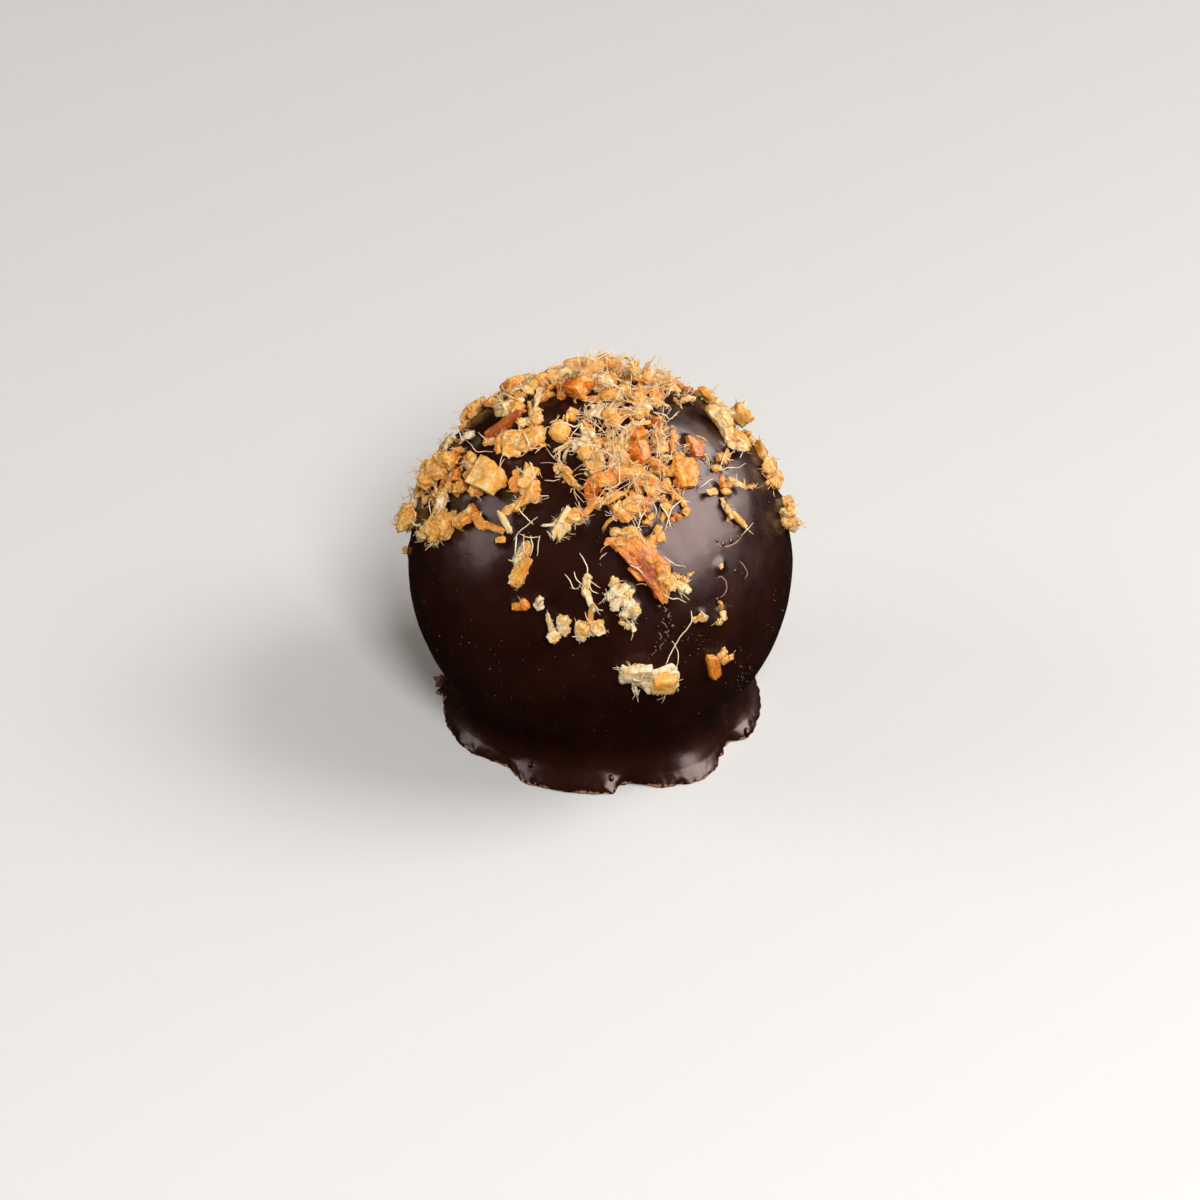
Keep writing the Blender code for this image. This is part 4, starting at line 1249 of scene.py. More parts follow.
class TRUFFLE_OT_crumbs(bpy.types.Operator):
    """Make the crumbs of the crown and the front, and those of the far side"""

    bl_idname = "truffle.crumbs"
    bl_label = "Ginger crumbs"

    def execute(self, context):
        settings = context.scene.truffle_ginger
        finish = ginger_finish(settings)
        crown, below = [], []
        for index, crumb in enumerate(CRUMBS):
            lump = placed_lump(crumb, CRUMB_SEED + CRUMB_STEP * index, CRUMB_CUTS)
            on_crown = math.hypot(crumb.x - CROWN_MIDDLE[0], crumb.y - CROWN_MIDDLE[1]) < CROWN_REACH
            (crown if on_crown else below).append(lump)
        front = lump_object("ginger_crumbs_crown", crown, finish)
        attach(front, "root")
        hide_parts(*CROWN_NODES)
        lower = lump_object("ginger_crumbs_below", below, finish)
        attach(lower, "root")
        back = lump_object("ginger_crumbs_back", back_lumps(settings.back_crumbs), finish)
        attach(back, "root")
        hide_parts(*BACK_NODES)
        return {"FINISHED"}


def ginger_objects():
    """The ginger made so far."""
    made = [thing for thing in bpy.data.objects if thing.name not in frame["nodes"]]
    return [thing for thing in made if thing.name.startswith("ginger_") and thing.type == "MESH"]


def discard(*things):
    """Take helper objects out of the file."""
    for thing in things:
        bpy.data.objects.remove(thing, do_unlink=True)


def hidden_collection(name, things):
    """Collection outside the scene that holds the shapes to be strewn."""
    collection = bpy.data.collections.new(name)
    for thing in things:
        for owner in list(thing.users_collection):
            owner.objects.unlink(thing)
        collection.objects.link(thing)
    return collection


def strew_tree(name, finish):
    """Node tree that strews shapes, turned at random, over torn faces that look away from the ball."""
    inputs = (
        ("Geometry", GEOMETRY, None),
        ("Shapes", "NodeSocketCollection", None),
        ("Density", FLOAT, 1.0),
        ("Smallest", FLOAT, 0.5),
        ("Largest", FLOAT, 1.0),
        ("Tilt", FLOAT, 1.0),
        ("Sink", FLOAT, 0.0),
        ("Tint", FLOAT, 0.1),
        ("Ground tone", FLOAT, 0.0),
        ("Even", FLOAT, 0.0),
        ("Seed", "NodeSocketInt", 1),
    )
    tree, start, end = new_group(name, "GeometryNodeTree", inputs, (("Geometry", GEOMETRY),))
    given = start.outputs
    float_type, vector_type = {"data_type": "FLOAT"}, {"data_type": "FLOAT_VECTOR"}
    share = reckon(tree, "MAXIMUM", reckon(tree, "POWER", stored(tree, "fuzz"), 1.5), given["Even"])
    place = tree.nodes.new("GeometryNodeInputPosition").outputs[0]
    normal = tree.nodes.new("GeometryNodeInputNormal").outputs[0]
    spoke = aimed(tree, "SUBTRACT", {0: place, 1: tuple(float(value) for value in BALL_CENTRE)})
    height = aimed(tree, "LENGTH", {0: spoke}, "Value")
    facing = aimed(tree, "DOT_PRODUCT", {0: aimed(tree, "NORMALIZE", {0: spoke}), 1: normal}, "Value")
    share = times(tree, share, ramp_between(tree, facing, -0.5, 0.2))
    share = times(tree, share, ramp_between(tree, height, BALL_RADIUS - 0.1 * MM, BALL_RADIUS))
    density = times(tree, share, given["Density"])
    points = put(
        tree,
        "GeometryNodeDistributePointsOnFaces",
        {"distribute_method": "RANDOM"},
        {"Mesh": given["Geometry"], "Density": density, "Seed": given["Seed"]},
    )
    away = points.outputs["Normal"]
    tilt = given["Tilt"]
    less = times(tree, tilt, -1.0)
    lowest = put(tree, "ShaderNodeCombineXYZ", None, {0: less, 1: less, 2: -math.pi}).outputs[0]
    highest = put(tree, "ShaderNodeCombineXYZ", None, {0: tilt, 1: tilt, 2: math.pi}).outputs[0]
    inputs = {0: lowest, 1: highest, "Seed": given["Seed"]}
    spin = put(tree, "FunctionNodeRandomValue", vector_type, inputs).outputs[0]
    turn = put(tree, "FunctionNodeEulerToRotation", None, {0: spin}).outputs[0]
    upright = put(tree, "FunctionNodeAlignRotationToVector", {"axis": "Z"}, {"Vector": away}).outputs[0]
    turned = put(tree, "FunctionNodeRotateRotation", {"rotation_space": "LOCAL"}, {0: upright, 1: turn})
    inputs = {2: given["Smallest"], 3: given["Largest"], "Seed": given["Seed"]}
    size = put(tree, "FunctionNodeRandomValue", float_type, inputs)
    sunk = aimed(tree, "SCALE", {0: away, 3: times(tree, given["Sink"], -1.0)})
    inputs = {"Geometry": points.outputs["Points"], "Offset": sunk}
    lowered = put(tree, "GeometryNodeSetPosition", None, inputs).outputs[0]
    inputs = {"Collection": given["Shapes"], "Separate Children": True, "Reset Children": True}
    shapes = put(tree, "GeometryNodeCollectionInfo", None, inputs).outputs[0]
    inputs = {
        "Points": lowered,
        "Instance": shapes,
        "Pick Instance": True,
        "Rotation": turned.outputs[0],
        "Scale": size.outputs[1],
    }
    strewn = put(tree, "GeometryNodeInstanceOnPoints", None, inputs).outputs[0]
    inputs = {2: times(tree, given["Tint"], -1.0), 3: given["Tint"], "Seed": given["Seed"]}
    tint = put(tree, "FunctionNodeRandomValue", float_type, inputs).outputs[1]
    tint = reckon(tree, "MULTIPLY_ADD", stored(tree, "tone"), given["Ground tone"], tint)
    tinted = put(
        tree,
        "GeometryNodeStoreNamedAttribute",
        {"data_type": "FLOAT", "domain": "INSTANCE"},
        {"Geometry": strewn, "Name": "tint", "Value": tint},
    )
    real = put(tree, "GeometryNodeRealizeInstances", None, {"Geometry": tinted.outputs[0]})
    dressed = put(tree, "GeometryNodeSetMaterial", None, {"Geometry": real.outputs[0], "Material": finish})
    feed(tree, end.inputs[0], dressed.outputs[0])
    return tree


def strewn_piece(name, density, ground, lumps, finish):
    """Strew lumps over the ground, so many on a square millimetre, as one piece of the frame."""
    how = STREWINGS[name]
    shapes = [lump_object(f"{name}_shape_{index}", [lump], finish) for index, lump in enumerate(lumps)]
    collection = hidden_collection(name + "_shapes", shapes)
    values = {
        "Shapes": collection,
        "Density": density / MM**2,
        "Smallest": how.smallest,
        "Largest": how.largest,
        "Tilt": how.tilt,
        "Sink": how.sink * MM,
        "Tint": how.tint,
        "Ground tone": how.ground_tone,
        "Even": how.even,
        "Seed": how.seed,
    }
    thing = grown_mesh(name, ground, strew_tree(name + "_tree", finish), values, finish)
    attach(thing, "root")
    discard(*shapes)
    bpy.data.collections.remove(collection)


def curly_path(chance, length, steps, curl, rise):
    """Path of a strand that starts at the origin and wanders, upwards where rise is large."""
    heading = Vector((chance.gauss(0, 0.6), chance.gauss(0, 0.6), rise)).normalized()
    bend = Vector((chance.gauss(0, 1), chance.gauss(0, 1), chance.gauss(0, 0.5)))
    place = -0.12 * length * heading
    path = []
    for _ in range(steps):
        path.append(place[:])
        place = place + heading * length / steps
        bend = bend + Vector((chance.gauss(0, 0.5), chance.gauss(0, 0.5), chance.gauss(0, 0.5)))
        heading = (heading + bend * curl / steps).normalized()
    return path


def roughened(chance, lump, radius, share):
    """A strand with each of its points moved at random, by a share of its radius."""
    jitter = np.array([[chance.uniform(-1, 1) for _ in range(3)] for _ in lump.points])
    return lump._replace(points=lump.points + jitter * radius * share)


def sliver_lump(chance):
    """A torn sliver: a short flat strand of uneven thickness."""
    length = chance.uniform(0.5, 1.4) * MM
    radius = chance.uniform(0.05, 0.10) * MM
    lump = tube_lump(curly_path(chance, length, 6, 0.5, 0.8), radius, 0.0, 4)
    return roughened(chance, lump, radius, 0.35)


def grain_lump(chance, seed):
    """A torn grain that takes its tone from the ground."""
    size = [chance.uniform(0.12, 0.36) * MM for _ in range(3)]
    lump = torn_lump(size, 0.4, 0.0, 0.0, 0.6, seed, GRAIN_CUTS)
    return lump._replace(tone=lump.tone * 0)


def tuft_lump(chance, count, length, radius):
    """A tuft of fibres that leave one root nearly side by side and part as they curl."""
    curl, rise = chance.uniform(1.5, 5.0), chance.uniform(0.05, 0.5)
    seed = chance.random()
    lumps = []
    for _ in range(count):
        path = np.array(curly_path(random.Random(seed), length * chance.uniform(0.6, 1.0), 8, curl, rise))
        share = np.linspace(0, 1, len(path))[:, None]
        root = np.array([chance.gauss(0, 0.10) * MM for _ in range(3)])
        splay = np.array([chance.gauss(0, 0.22) * length for _ in range(3)])
        path = path + root + splay * share**1.5
        lumps.append(tube_lump(path, radius * chance.uniform(0.6, 1.3), chance.uniform(0.0, 0.25), 3))
    return joined(lumps)


def shred_lump(chance):
    """A torn shred: a strand of uneven thickness with thinner ones along it, its ends splayed."""
    path = curly_path(chance, chance.uniform(0.9, 2.2) * MM, 8, chance.uniform(0.4, 1.8), 0.25)
    share = np.linspace(-1, 1, len(path))[:, None]
    lumps = []
    for _ in range(3):
        radius = chance.uniform(0.05, 0.11) * MM
        drift = np.array([chance.gauss(0, 0.09) * MM for _ in range(3)])
        splay = np.array([chance.gauss(0, 0.16) * MM for _ in range(3)])
        lump = tube_lump(np.array(path) + drift + splay * share * np.abs(share), radius, 0.0, 4)
        lumps.append(roughened(chance, lump, radius, 0.3))
    return joined(lumps)


def long_fibre(route, radius, seed):
    """A fibre that passes over the photo pixels of its route."""
    knots = np.array([pixel_point(x, y, lift * MM) for x, y, lift in route])
    chance = random.Random(seed)
    share = np.linspace(0, len(knots) - 1, 4 * len(knots) + 1)
    path = np.column_stack([np.interp(share, range(len(knots)), knots[:, axis]) for axis in range(3)])
    for _ in range(2):
        path[1:-1] = (path[:-2] + 2 * path[1:-1] + path[2:]) / 4
    path += 0.05 * MM * np.column_stack([ripple(path, 0.4 * MM, seed + k) for k in range(3)])
    return tube_lump(path, radius * chance.uniform(0.8, 1.4), chance.uniform(0.0, 0.15))


def joined_ground(name, things):
    """One mesh object of all these, to strew things over."""
    lumps = []
    for thing in things:
        mesh = thing.data
        points = np.empty(len(mesh.vertices) * 3)
        mesh.vertices.foreach_get("co", points)
        layers = {}
        for label in ("tone", "fuzz"):
            values = np.empty(len(mesh.vertices))
            mesh.attributes[label].data.foreach_get("value", values)
            layers[label] = values
        faces = [face.vertices[:] for face in mesh.polygons]
        points = points.reshape(-1, 3)
        lumps.append(Lump(points, faces, layers["tone"], layers["fuzz"], points))
    return lump_object(name, lumps, None)


class TRUFFLE_OT_fibres(bpy.types.Operator):
    """Make the long and the short loose fibres, and the slivers, shreds and grains among them"""

    bl_idname = "truffle.fibres"
    bl_label = "Ginger fibres"

    def execute(self, context):
        settings = context.scene.truffle_ginger
        finish = ginger_finish(settings)
        dry = fibre_finish(settings)
        radius = settings.fibre_width / 2
        long_ones = [long_fibre(route, radius, index) for index, route in enumerate(FIBRES)]
        thing = lump_object("fibres_long", long_ones, dry)
        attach(thing, "root")
        torn = joined_ground("torn_ground", ginger_objects())
        crown = joined_ground("crown_top_ground", [bpy.data.objects["ginger_crumbs_crown"]])
        chance = random.Random(FIBRE_DRAWS)
        tufts = [
            tuft_lump(chance, chance.choice((1, 2, 3, 4)), chance.uniform(0.5, 1.6) * MM, radius * 0.8)
            for _ in range(TUFT_SHAPES)
        ]
        strewn_piece("fibres_short", settings.fuzz_fibres, torn, tufts, dry)
        tufts = [
            tuft_lump(chance, chance.choice((1, 2, 3, 5)), chance.uniform(1.0, 2.8) * MM, radius * 0.85)
            for _ in range(TUFT_SHAPES)
        ]
        strewn_piece("fibres_crown", settings.crown_fibres, crown, tufts, dry)
        slivers = [sliver_lump(chance) for _ in range(SLIVER_SHAPES)]
        strewn_piece("ginger_slivers", settings.slivers, torn, slivers, finish)
        shreds = [shred_lump(chance) for _ in range(SHRED_SHAPES)]
        strewn_piece("ginger_shreds", settings.shreds, crown, shreds, finish)
        grains = [grain_lump(chance, GRAIN_SEED + index) for index in range(GRAIN_SHAPES)]
        strewn_piece("ginger_grains", settings.grains, torn, grains, finish)
        discard(torn, crown)
        return {"FINISHED"}


def in_heaps(points, heaps):
    """How far inside such ellipses of the photograph each point of the ball lies, from 0 to 1."""
    across = PHOTO_BALL[0] + (points - BALL_CENTRE) @ VIEW_RIGHT * PHOTO_SCALE
    down = PHOTO_BALL[1] - (points - BALL_CENTRE) @ VIEW_UP * PHOTO_SCALE
    inside = np.zeros(len(points))
    for x, y, half_width, half_height in heaps:
        reach = np.hypot((across - x) / half_width, (down - y) / half_height)
        inside = np.maximum(inside, np.clip((1.15 - reach) / 0.3, 0, 1))
    return inside * ((points - BALL_CENTRE) @ VIEW_OUT > -0.2 * BALL_RADIUS)


def crown_ground(name, lowest, spread, heaps, nearby, beyond):
    """Cap of the ball for strewing, down to a polar angle, its fuzz marking where crumbs or dust belong.

    That is within a spread of the ginger to a share nearby, wholly in the heaps, and to a share beyond,
    on the far side.
    """
    form = bmesh.new()
    bmesh.ops.create_icosphere(form, subdivisions=5, radius=BALL_RADIUS)
    drop = [vertex for vertex in form.verts if vertex.co.z < BALL_RADIUS * math.cos(math.radians(lowest))]
    bmesh.ops.delete(form, geom=drop, context="VERTS")
    form.verts.index_update()
    points = np.array([vertex.co[:] for vertex in form.verts]) + BALL_CENTRE
    faces = [[vertex.index for vertex in face.verts] for face in form.faces]
    form.free()
    middles = [pixel_point(crumb.x, crumb.y, 0.0) for crumb in CRUMBS]
    middles += [wrap_on_ball(seat_axes(p.polar, p.azimuth, p.turn), np.zeros((1, 3)))[0] for p in PIECES]
    nearest = np.min(np.linalg.norm(points[:, None] - np.array(middles)[None], axis=2), axis=1)
    close = nearby * (1.0 - np.clip((nearest - 0.4 * MM) / spread, 0, 1))
    outward = unit_rows(points - BALL_CENTRE)
    hidden = np.clip((0.15 - outward @ VIEW_OUT) * 6, 0, 1)
    polar = np.degrees(np.arccos(np.clip(outward[:, 2], -1, 1)))
    clumps = np.clip(0.55 + 0.9 * ripple(points, 3.0 * MM, 4), 0, 1)
    far = beyond * hidden * clumps * np.clip((66 - polar) / 14, 0, 1)
    fuzz = np.clip(np.maximum(np.maximum(close, in_heaps(points, heaps)), far), 0, 1)
    return lump_object(name, [Lump(points, faces, fuzz * 0.0, fuzz, points)], None)


def small_crumb(chance, seed):
    """A crumb to be strewn."""
    length = chance.uniform(0.5, 1.5) * MM
    size = (length, length * chance.uniform(0.4, 0.8), length * chance.uniform(0.35, 0.65))
    parts = 1 if length < 0.9 * MM else 2
    roundness, tone = chance.uniform(0.2, 0.6), chance.uniform(0.2, 0.5)
    return grown_lump(size, roundness, tone, 0.05, 0.8, seed, SMALL_CUTS, parts)


class TRUFFLE_OT_small(bpy.types.Operator):
    """Strew the small crumbs between the larger ones"""

    bl_idname = "truffle.small"
    bl_label = "Small crumbs"

    def execute(self, context):
        settings = context.scene.truffle_ginger
        finish = ginger_finish(settings)
        chance = random.Random(SMALL_DRAWS)
        ground = crown_ground("crumb_ground", 84, 0.9 * MM, HEAPS, nearby=0.3, beyond=1.0)
        crumbs = [small_crumb(chance, SMALL_SEED + index) for index in range(SMALL_SHAPES)]
        strewn_piece("ginger_crumbs_small", settings.small_crumbs, ground, crumbs, finish)
        discard(ground)
        return {"FINISHED"}


def dust_grain(chance):
    """A tiny rounded grain."""
    size = (chance.uniform(0.07, 0.13) * MM, chance.uniform(0.04, 0.08) * MM, 0.04 * MM)
    corners, faces = unit_block(1)
    points = unit_rows(corners) * np.array(size) / 2
    return Lump(points, faces, np.full(len(points), DUST_TONE), np.zeros(len(points)), points)


class TRUFFLE_OT_dust(bpy.types.Operator):
    """Strew the ginger dust over the ball"""

    bl_idname = "truffle.dust"
    bl_label = "Ginger dust"

    def execute(self, context):
        finish = fibre_finish(context.scene.truffle_ginger)
        chance = random.Random(DUST_DRAWS)
        ground = crown_ground("dust_ground", 118, 2.5 * MM, DUST_SPOTS, nearby=0.14, beyond=0.2)
        grains = [dust_grain(chance) for _ in range(DUST_SHAPES)]
        strewn_piece("ginger_dust", DUST_DENSITY, ground, grains, finish)
        discard(ground)
        return {"FINISHED"}


def outline_rows():
    """Half outline of the coating as (radius, height, rim share), pole first, down to the base."""
    rows = []
    for row in range(BALL_ROWS + 1):
        polar = NECK_POLAR * row / BALL_ROWS
        rows.append((BALL_RADIUS * math.sin(polar), BALL_CENTRE[2] + BALL_RADIUS * math.cos(polar), 0.0))
    neck = Vector(rows[-1][:2])
    downhill = Vector((math.cos(NECK_POLAR), -math.sin(NECK_POLAR)))
    wall = Vector((FOOT_RADIUS, FOOT_WALL_TOP))
    wall_slope = Vector((-0.1, 1.0)).normalized()
    pull = neck + downhill * NECK_PULL
    push = wall + wall_slope * NECK_PULL / 2
    for row in range(1, NECK_ROWS + 1):
        share = row / NECK_ROWS
        rest = 1.0 - share
        place = neck * rest**3 + pull * 3 * rest**2 * share + push * 3 * rest * share**2 + wall * share**3
        rows.append((place.x, place.y, 0.0))
    edge = Vector((FOOT_RADIUS + EDGE_REACH, EDGE_HEIGHT))
    for row in range(1, WALL_ROWS + 1):
        place = wall.lerp(edge, row / WALL_ROWS)
        rows.append((place.x, place.y, 1.0 - place.y / FOOT_WALL_TOP))
    for row in range(1, EDGE_ROWS + 1):
        turn = math.pi / 2 * row / EDGE_ROWS
        inset = EDGE_INSET * (1 - math.cos(turn))
        height = EDGE_HEIGHT * (1 - math.sin(turn))
        rows.append((edge.x - inset + EDGE_BULGE * math.sin(2 * turn), height, 1.0 - height / FOOT_WALL_TOP))
    for radius in (0.93, 0.80, 0.62):
        rows.append((edge.x * radius, 0.0, 0.3))
    rows.append((BASE_RING_RADIUS, 0.0, 0.0))
    rows.append((0.0, 0.0, 0.0))
    return rows


def turned_coating(columns):
    """The outline turned about the upright axis into a closed mesh, with its rim share."""
    rows = outline_rows()
    even = np.arange(columns) * math.tau / columns
    angles = even - 0.4 * np.sin(even - math.radians(-75))
    rounds = [
        np.column_stack((radius * np.cos(angles), radius * np.sin(angles), np.full(columns, height)))
        for radius, height, _ in rows[1:-1]
    ]
    top, bottom = (0.0, 0.0, rows[0][1]), (0.0, 0.0, rows[-1][1])
    points = np.vstack([[top], *rounds, [bottom]])
    rim = np.concatenate([[0.0], *[np.full(columns, share) for _, _, share in rows[1:-1]], [0.0]])
    faces = []
    following = (np.arange(columns) + 1) % columns
    for k in range(columns):
        faces.append((0, 1 + k, 1 + int(following[k])))
    for row in range(len(rounds) - 1):
        low, high = 1 + row * columns, 1 + (row + 1) * columns
        for k in range(columns):
            faces.append((low + k, high + k, high + int(following[k]), low + int(following[k])))
    last, end = 1 + (len(rounds) - 1) * columns, len(points) - 1
    for k in range(columns):
        faces.append((last + k, end, last + int(following[k])))
    mesh = bpy.data.meshes.new("coating_form")
    mesh.from_pydata(points.tolist(), [], faces)
    layer = mesh.attributes.new("rim", "FLOAT", "POINT")
    layer.data.foreach_set("value", rim)
    thing = bpy.data.objects.new("coating_form", mesh)
    bpy.context.scene.collection.objects.link(thing)
    return thing


def lobe_reach(tree, lobe, azimuth, height, skirt, roll):
    """How far a lobe pushes the foot outwards at an azimuth and a height."""
    middle = (lobe.start + lobe.end) / 2
    angle = reckon(tree, "WRAP", azimuth, middle + 180.0, middle - 180.0)
    softer = times(tree, height, SOFTER_WITH_HEIGHT)
    soft_start = plus(tree, softer, lobe.soft_start / 2)
    soft_end = plus(tree, softer, lobe.soft_end / 2)
    low_start, high_start = (reckon(tree, way, lobe.start, soft_start) for way in ("SUBTRACT", "ADD"))
    low_end, high_end = (reckon(tree, way, lobe.end, soft_end) for way in ("SUBTRACT", "ADD"))
    rise = ramp_between(tree, angle, low_start, high_start)
    fall = ramp_between(tree, angle, low_end, high_end, 1.0, 0.0)
    fade = ramp_between(tree, lobe.roll, 0.0, 1.0, skirt, roll, "LINEAR")
    return times(tree, times(tree, rise, fall), times(tree, fade, lobe.reach))


def coating_tree():
    """Node tree that gives the turned coating its foot lobes, swells, collars and ragged edge."""
    inputs = (
        ("Geometry", GEOMETRY, None),
        ("Ginger", "NodeSocketObject", None),
        ("Waviness", FLOAT, 0.07 * MM),
        ("Collar", FLOAT, 0.12 * MM),
        ("Collar width", FLOAT, 0.45 * MM),
        ("Chips", FLOAT, 0.15 * MM),
    )
    tree, start, end = new_group("coating_shape", "GeometryNodeTree", inputs, (("Geometry", GEOMETRY),))
    given = start.outputs
    place = tree.nodes.new("GeometryNodeInputPosition").outputs[0]
    normal = tree.nodes.new("GeometryNodeInputNormal").outputs[0]
    across, along, height = put(tree, "ShaderNodeSeparateXYZ", None, {0: place}).outputs
    squares = (reckon(tree, "POWER", side, 2.0) for side in (across, along))
    radius = reckon(tree, "SQRT", plus(tree, *squares))
    azimuth = reckon(tree, "DEGREES", reckon(tree, "ARCTAN2", along, across))
    skirt = ramp_between(tree, height, SKIRT_LOW, SKIRT_TOP, 1.0, 0.0, "LINEAR")
    roll = ramp_between(tree, height, ROLL_LOW, ROLL_TOP, 1.0, 0.0)
    reach = 0.0
    for lobe in LOBES:
        reach = plus(tree, lobe_reach(tree, lobe, azimuth, height, skirt, roll), reach)
    # Chips along the edge
    ragged = reckon(tree, "SUBTRACT", noise(tree, place, size=0.7 * MM, detail=3.0), 0.45)
    ragged = times(tree, times(tree, ragged, given["Chips"]), 4.0)
    reach = plus(tree, reach, times(tree, ragged, stored(tree, "rim")))
    reach = times(tree, reach, ramp_between(tree, radius, BASE_RING_RADIUS, 1.6 * BASE_RING_RADIUS))
    low_side = ramp_between(tree, height, 0.45 * BALL_CENTRE[2], 0.5 * BALL_CENTRE[2], 1.0, 0.0)
    reach = times(tree, reach, low_side)
    flat = put(tree, "ShaderNodeCombineXYZ", None, {0: across, 1: along}).outputs[0]
    push = aimed(tree, "SCALE", {0: aimed(tree, "NORMALIZE", {0: flat}), 3: reach})
    # Slight swells, and a collar where the ball meets ginger
    swell = reckon(tree, "SUBTRACT", noise(tree, place, size=5.0 * MM, detail=1.5), 0.5)
    swell = times(tree, swell, times(tree, given["Waviness"], 4.0))
    ginger = put(tree, "GeometryNodeObjectInfo", {"transform_space": "ORIGINAL"}, {"Object": given["Ginger"]})
    near = put(tree, "GeometryNodeProximity", {"target_element": "FACES"}, {0: ginger.outputs["Geometry"]})
    collar = ramp_between(tree, near.outputs["Distance"], 0.0, given["Collar width"], given["Collar"], 0.0)
    above = ramp_between(tree, height, 0.3 * MM, 2.5 * MM)
    lift = aimed(tree, "SCALE", {0: normal, 3: times(tree, plus(tree, swell, collar), above)})
    offset = aimed(tree, "ADD", {0: push, 1: lift})
    moved = put(tree, "GeometryNodeSetPosition", None, {"Geometry": given["Geometry"], "Offset": offset})
    feed(tree, end.inputs[0], moved.outputs[0])
    return tree


class TRUFFLE_OT_coating(bpy.types.Operator):
    """Make the chocolate coating with its foot, drawn up round the ginger"""

    bl_idname = "truffle.coating"
    bl_label = "Chocolate coating"

    def execute(self, context):
        settings = context.scene.truffle_coating
        finish = chocolate_finish(settings)
        ends = ("_torn", "_crown", "_below", "_back")
        near = [thing for thing in ginger_objects() if thing.name.endswith(ends)]
        contact = joined_ground("contact_ground", near)
        form = turned_coating(COATING_COLUMNS)
        values = {
            "Ginger": contact,
            "Waviness": settings.waviness,
            "Collar": settings.collar,
            "Collar width": COLLAR_WIDTH,
            "Chips": settings.chips,
        }
        coating = grown_mesh("chocolate_coating", form, coating_tree(), values, finish)
        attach(coating, "root")
        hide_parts("truffle")
        discard(form, contact)
        details_on(coating, finish)
        return {"FINISHED"}


def details_on(coating, finish):
    """Beads and low ridges on the coating, and the broken flakes of its foot, as one object. The flakes and
    the ridges take the pale rim colour: broken faces on the flakes, a painted highlight line on the ridges.
    """
    mesh = coating.data
    surface = BVHTree.FromPolygons([v.co[:] for v in mesh.vertices], [p.vertices[:] for p in mesh.polygons])
    eye = camera_place()
    lumps = []

    def seen_at(x, y):
        place, normal, _, _ = surface.ray_cast(Vector(eye), Vector(pixel_ray(x, y)))
        if place is None:
            raise RuntimeError(f"no chocolate at {x}, {y}")
        return np.array(place), np.array(normal)

    for index, bead in enumerate(BEADS):
        corners, faces = unit_block(BEAD_CUTS)
        uneven = 0.75 + 0.08 * (index % 5)
        points = unit_rows(corners) * np.array((bead.radius, bead.radius * uneven, 1.6 * bead.rise)) * MM
        place, normal = seen_at(bead.x, bead.y)
        side = unit_rows(np.cross(normal, (0.3 * index, 1.0, 0.2))[None])[0]
        axes = np.column_stack((side, np.cross(normal, side), normal))
        level = np.zeros(len(points))
        points = place - normal * 0.6 * bead.rise * MM + points @ axes.T
        lumps.append(Lump(points, faces, level, level, points))
    for ridge in RIDGES:
        share = np.linspace(0, len(ridge.route) - 1, 5 * len(ridge.route))
        route = np.array(ridge.route, dtype=float)
        across = np.column_stack([np.interp(share, range(len(route)), route[:, axis]) for axis in (0, 1)])
        across[1:-1] = (across[:-2] + 2 * across[1:-1] + across[2:]) / 4
        path = []
        for x, y in across:
            place, normal = seen_at(x, y)
            path.append(place - normal * 0.62 * ridge.width * MM)
        lumps.append(tube_lump(path, ridge.width * MM, 0.0, 8))
    for index, flake in enumerate(FLAKES):
        size = np.array(flake.size) * MM
        lump = torn_lump(size, 0.1, 0.0, 0.0, 1.0, FLAKE_SEED + PIECE_STEP * index, FLAKE_CUTS)
        turn = tilt_matrix(math.radians(flake.yaw), math.radians(flake.lean), 0.2)
        points = np.array(flake.middle) * MM + lump.points @ turn.T
        points[:, 2] = np.maximum(points[:, 2], 0.02 * MM)
        lumps.append(Lump(points, lump.faces, lump.tone * 0, lump.fuzz * 0 + 1, points))
    details = lump_object("chocolate_details", lumps, finish)
    # The rim share is the fuzz: 0 on the beads, 1 on the flakes' broken faces and on the ridges' tubes, where
    # the pale colour is a painted highlight line
    rim = details.data.attributes.new("rim", "FLOAT", "POINT")
    pale = np.zeros(len(details.data.vertices))
    details.data.attributes["fuzz"].data.foreach_get("value", pale)
    rim.data.foreach_set("value", pale)
    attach(details, "root")
    return details


def soft_light(lamp, power):
    """Large soft light that looks at the ball from a direction in degrees."""
    light = bpy.data.lights.new(lamp.name, "AREA")
    light.shape = "RECTANGLE"
    light.size, light.size_y = lamp.width, lamp.height
    light.energy = power
    light.color = lamp.colour
    thing = bpy.data.objects.new(lamp.name, light)
    azimuth, elevation = math.radians(lamp.azimuth), math.radians(lamp.elevation)
    level = math.cos(elevation)
    direction = Vector((level * math.cos(azimuth), level * math.sin(azimuth), math.sin(elevation)))
    thing.location = Vector(BALL_CENTRE) + direction * lamp.distance
    thing.rotation_euler = direction.to_track_quat("Z", "Y").to_euler()
    setattr(thing, lamp.unseen, False)
    bpy.context.scene.collection.objects.link(thing)


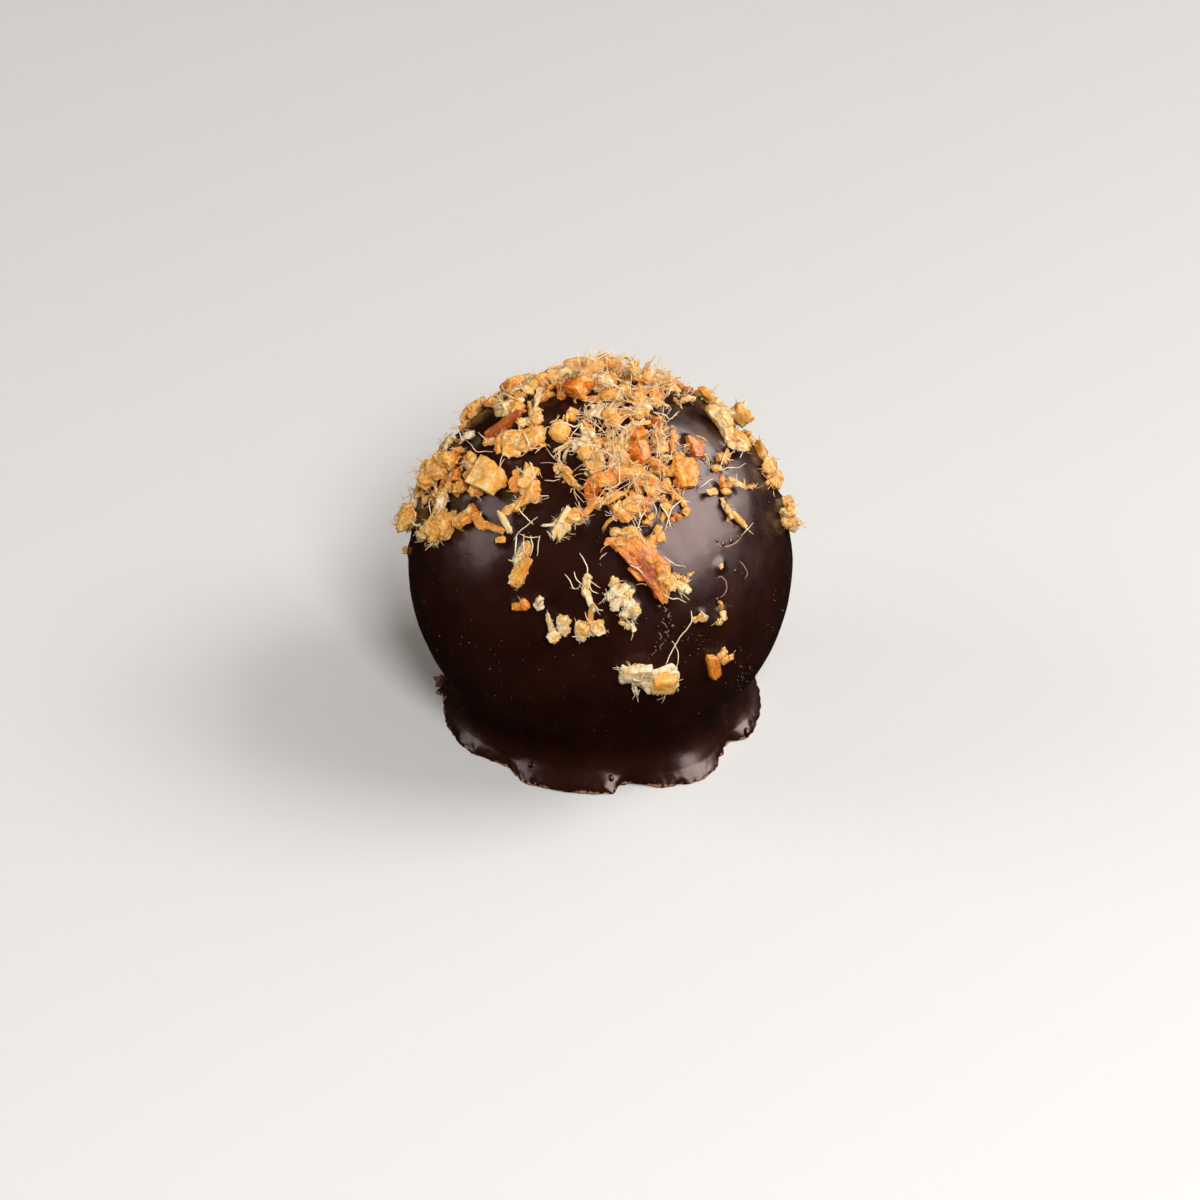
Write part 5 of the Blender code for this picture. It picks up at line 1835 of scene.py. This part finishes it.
class TRUFFLE_OT_stage(bpy.types.Operator):
    """Lay the pale floor, and set the soft lights and the camera"""

    bl_idname = "truffle.stage"
    bl_label = "Stage"

    def execute(self, context):
        settings = context.scene.truffle_stage
        scene = context.scene
        mesh = bpy.data.meshes.new("floor")
        form = bmesh.new()
        bmesh.ops.create_grid(form, x_segments=1, y_segments=1, size=FLOOR_SIDE)
        form.to_mesh(mesh)
        form.free()
        material, _, shader = new_finish("pale_floor")
        shader.inputs["Base Color"].default_value = opaque(settings.floor_colour)
        shader.inputs["Roughness"].default_value = FLOOR_ROUGHNESS
        mesh.materials.append(material)
        floor = bpy.data.objects.new("floor", mesh)
        scene.collection.objects.link(floor)
        floor.visible_glossy = False
        floor.visible_diffuse = False
        for lamp in LAMPS:
            soft_light(lamp, getattr(settings, lamp.power))
        world = bpy.data.worlds.new("studio")
        world.use_nodes = True
        backdrop = world.node_tree.nodes["Background"]
        backdrop.inputs["Color"].default_value = BACKDROP
        tree = world.node_tree
        glossy = tree.nodes.new("ShaderNodeLightPath").outputs["Is Glossy Ray"]
        strength = ramp_between(tree, glossy, 0.0, 1.0, settings.sky, settings.sky_gloss, "LINEAR")
        feed(tree, backdrop.inputs["Strength"], strength)
        scene.world = world
        scene.view_settings.view_transform = "Standard"
        lens = bpy.data.cameras.new("camera")
        lens.sensor_width = SENSOR_WIDTH
        lens.lens = SENSOR_WIDTH * PHOTO_SCALE * CAMERA_DISTANCE / PHOTO_SIDE
        lens.clip_start = NEAR_CLIP
        camera = bpy.data.objects.new("camera", lens)
        camera.location = camera_place()
        camera.rotation_euler = (math.pi / 2 - CAMERA_TILT, 0.0, 0.0)
        scene.collection.objects.link(camera)
        scene.camera = camera
        return {"FINISHED"}


class TRUFFLE_PT_panel(bpy.types.Panel):
    """Lists the steps that make the truffle"""

    bl_label = "Truffle"
    bl_space_type = "VIEW_3D"
    bl_region_type = "UI"
    bl_category = "Truffle"

    def draw(self, context):
        for step in STEPS:
            self.layout.operator(step.bl_idname)
        for label in SETTINGS:
            box = self.layout.box()
            group = getattr(context.scene, label)
            for key in group.__annotations__:
                box.prop(group, key)


STEPS = (
    TRUFFLE_OT_pieces,
    TRUFFLE_OT_crumbs,
    TRUFFLE_OT_small,
    TRUFFLE_OT_fibres,
    TRUFFLE_OT_dust,
    TRUFFLE_OT_coating,
    TRUFFLE_OT_stage,
)
SETTINGS = {
    "truffle_coating": TruffleCoating,
    "truffle_ginger": TruffleGinger,
    "truffle_stage": TruffleStage,
}


def register():
    """Add the settings, the steps and the panel to Blender."""
    for label, group in SETTINGS.items():
        bpy.utils.register_class(group)
        setattr(bpy.types.Scene, label, PointerProperty(type=group))
    for step in STEPS:
        bpy.utils.register_class(step)
    bpy.utils.register_class(TRUFFLE_PT_panel)


def unregister():
    """Take them out again."""
    bpy.utils.unregister_class(TRUFFLE_PT_panel)
    for step in reversed(STEPS):
        bpy.utils.unregister_class(step)
    for label, group in SETTINGS.items():
        delattr(bpy.types.Scene, label)
        bpy.utils.unregister_class(group)


def main():
    """Build the whole truffle."""
    register()
    bpy.ops.truffle.pieces()
    bpy.ops.truffle.crumbs()
    bpy.ops.truffle.small()
    bpy.ops.truffle.fibres()
    bpy.ops.truffle.dust()
    bpy.ops.truffle.coating()
    bpy.ops.truffle.stage()


if __name__ == "__main__":
    main()
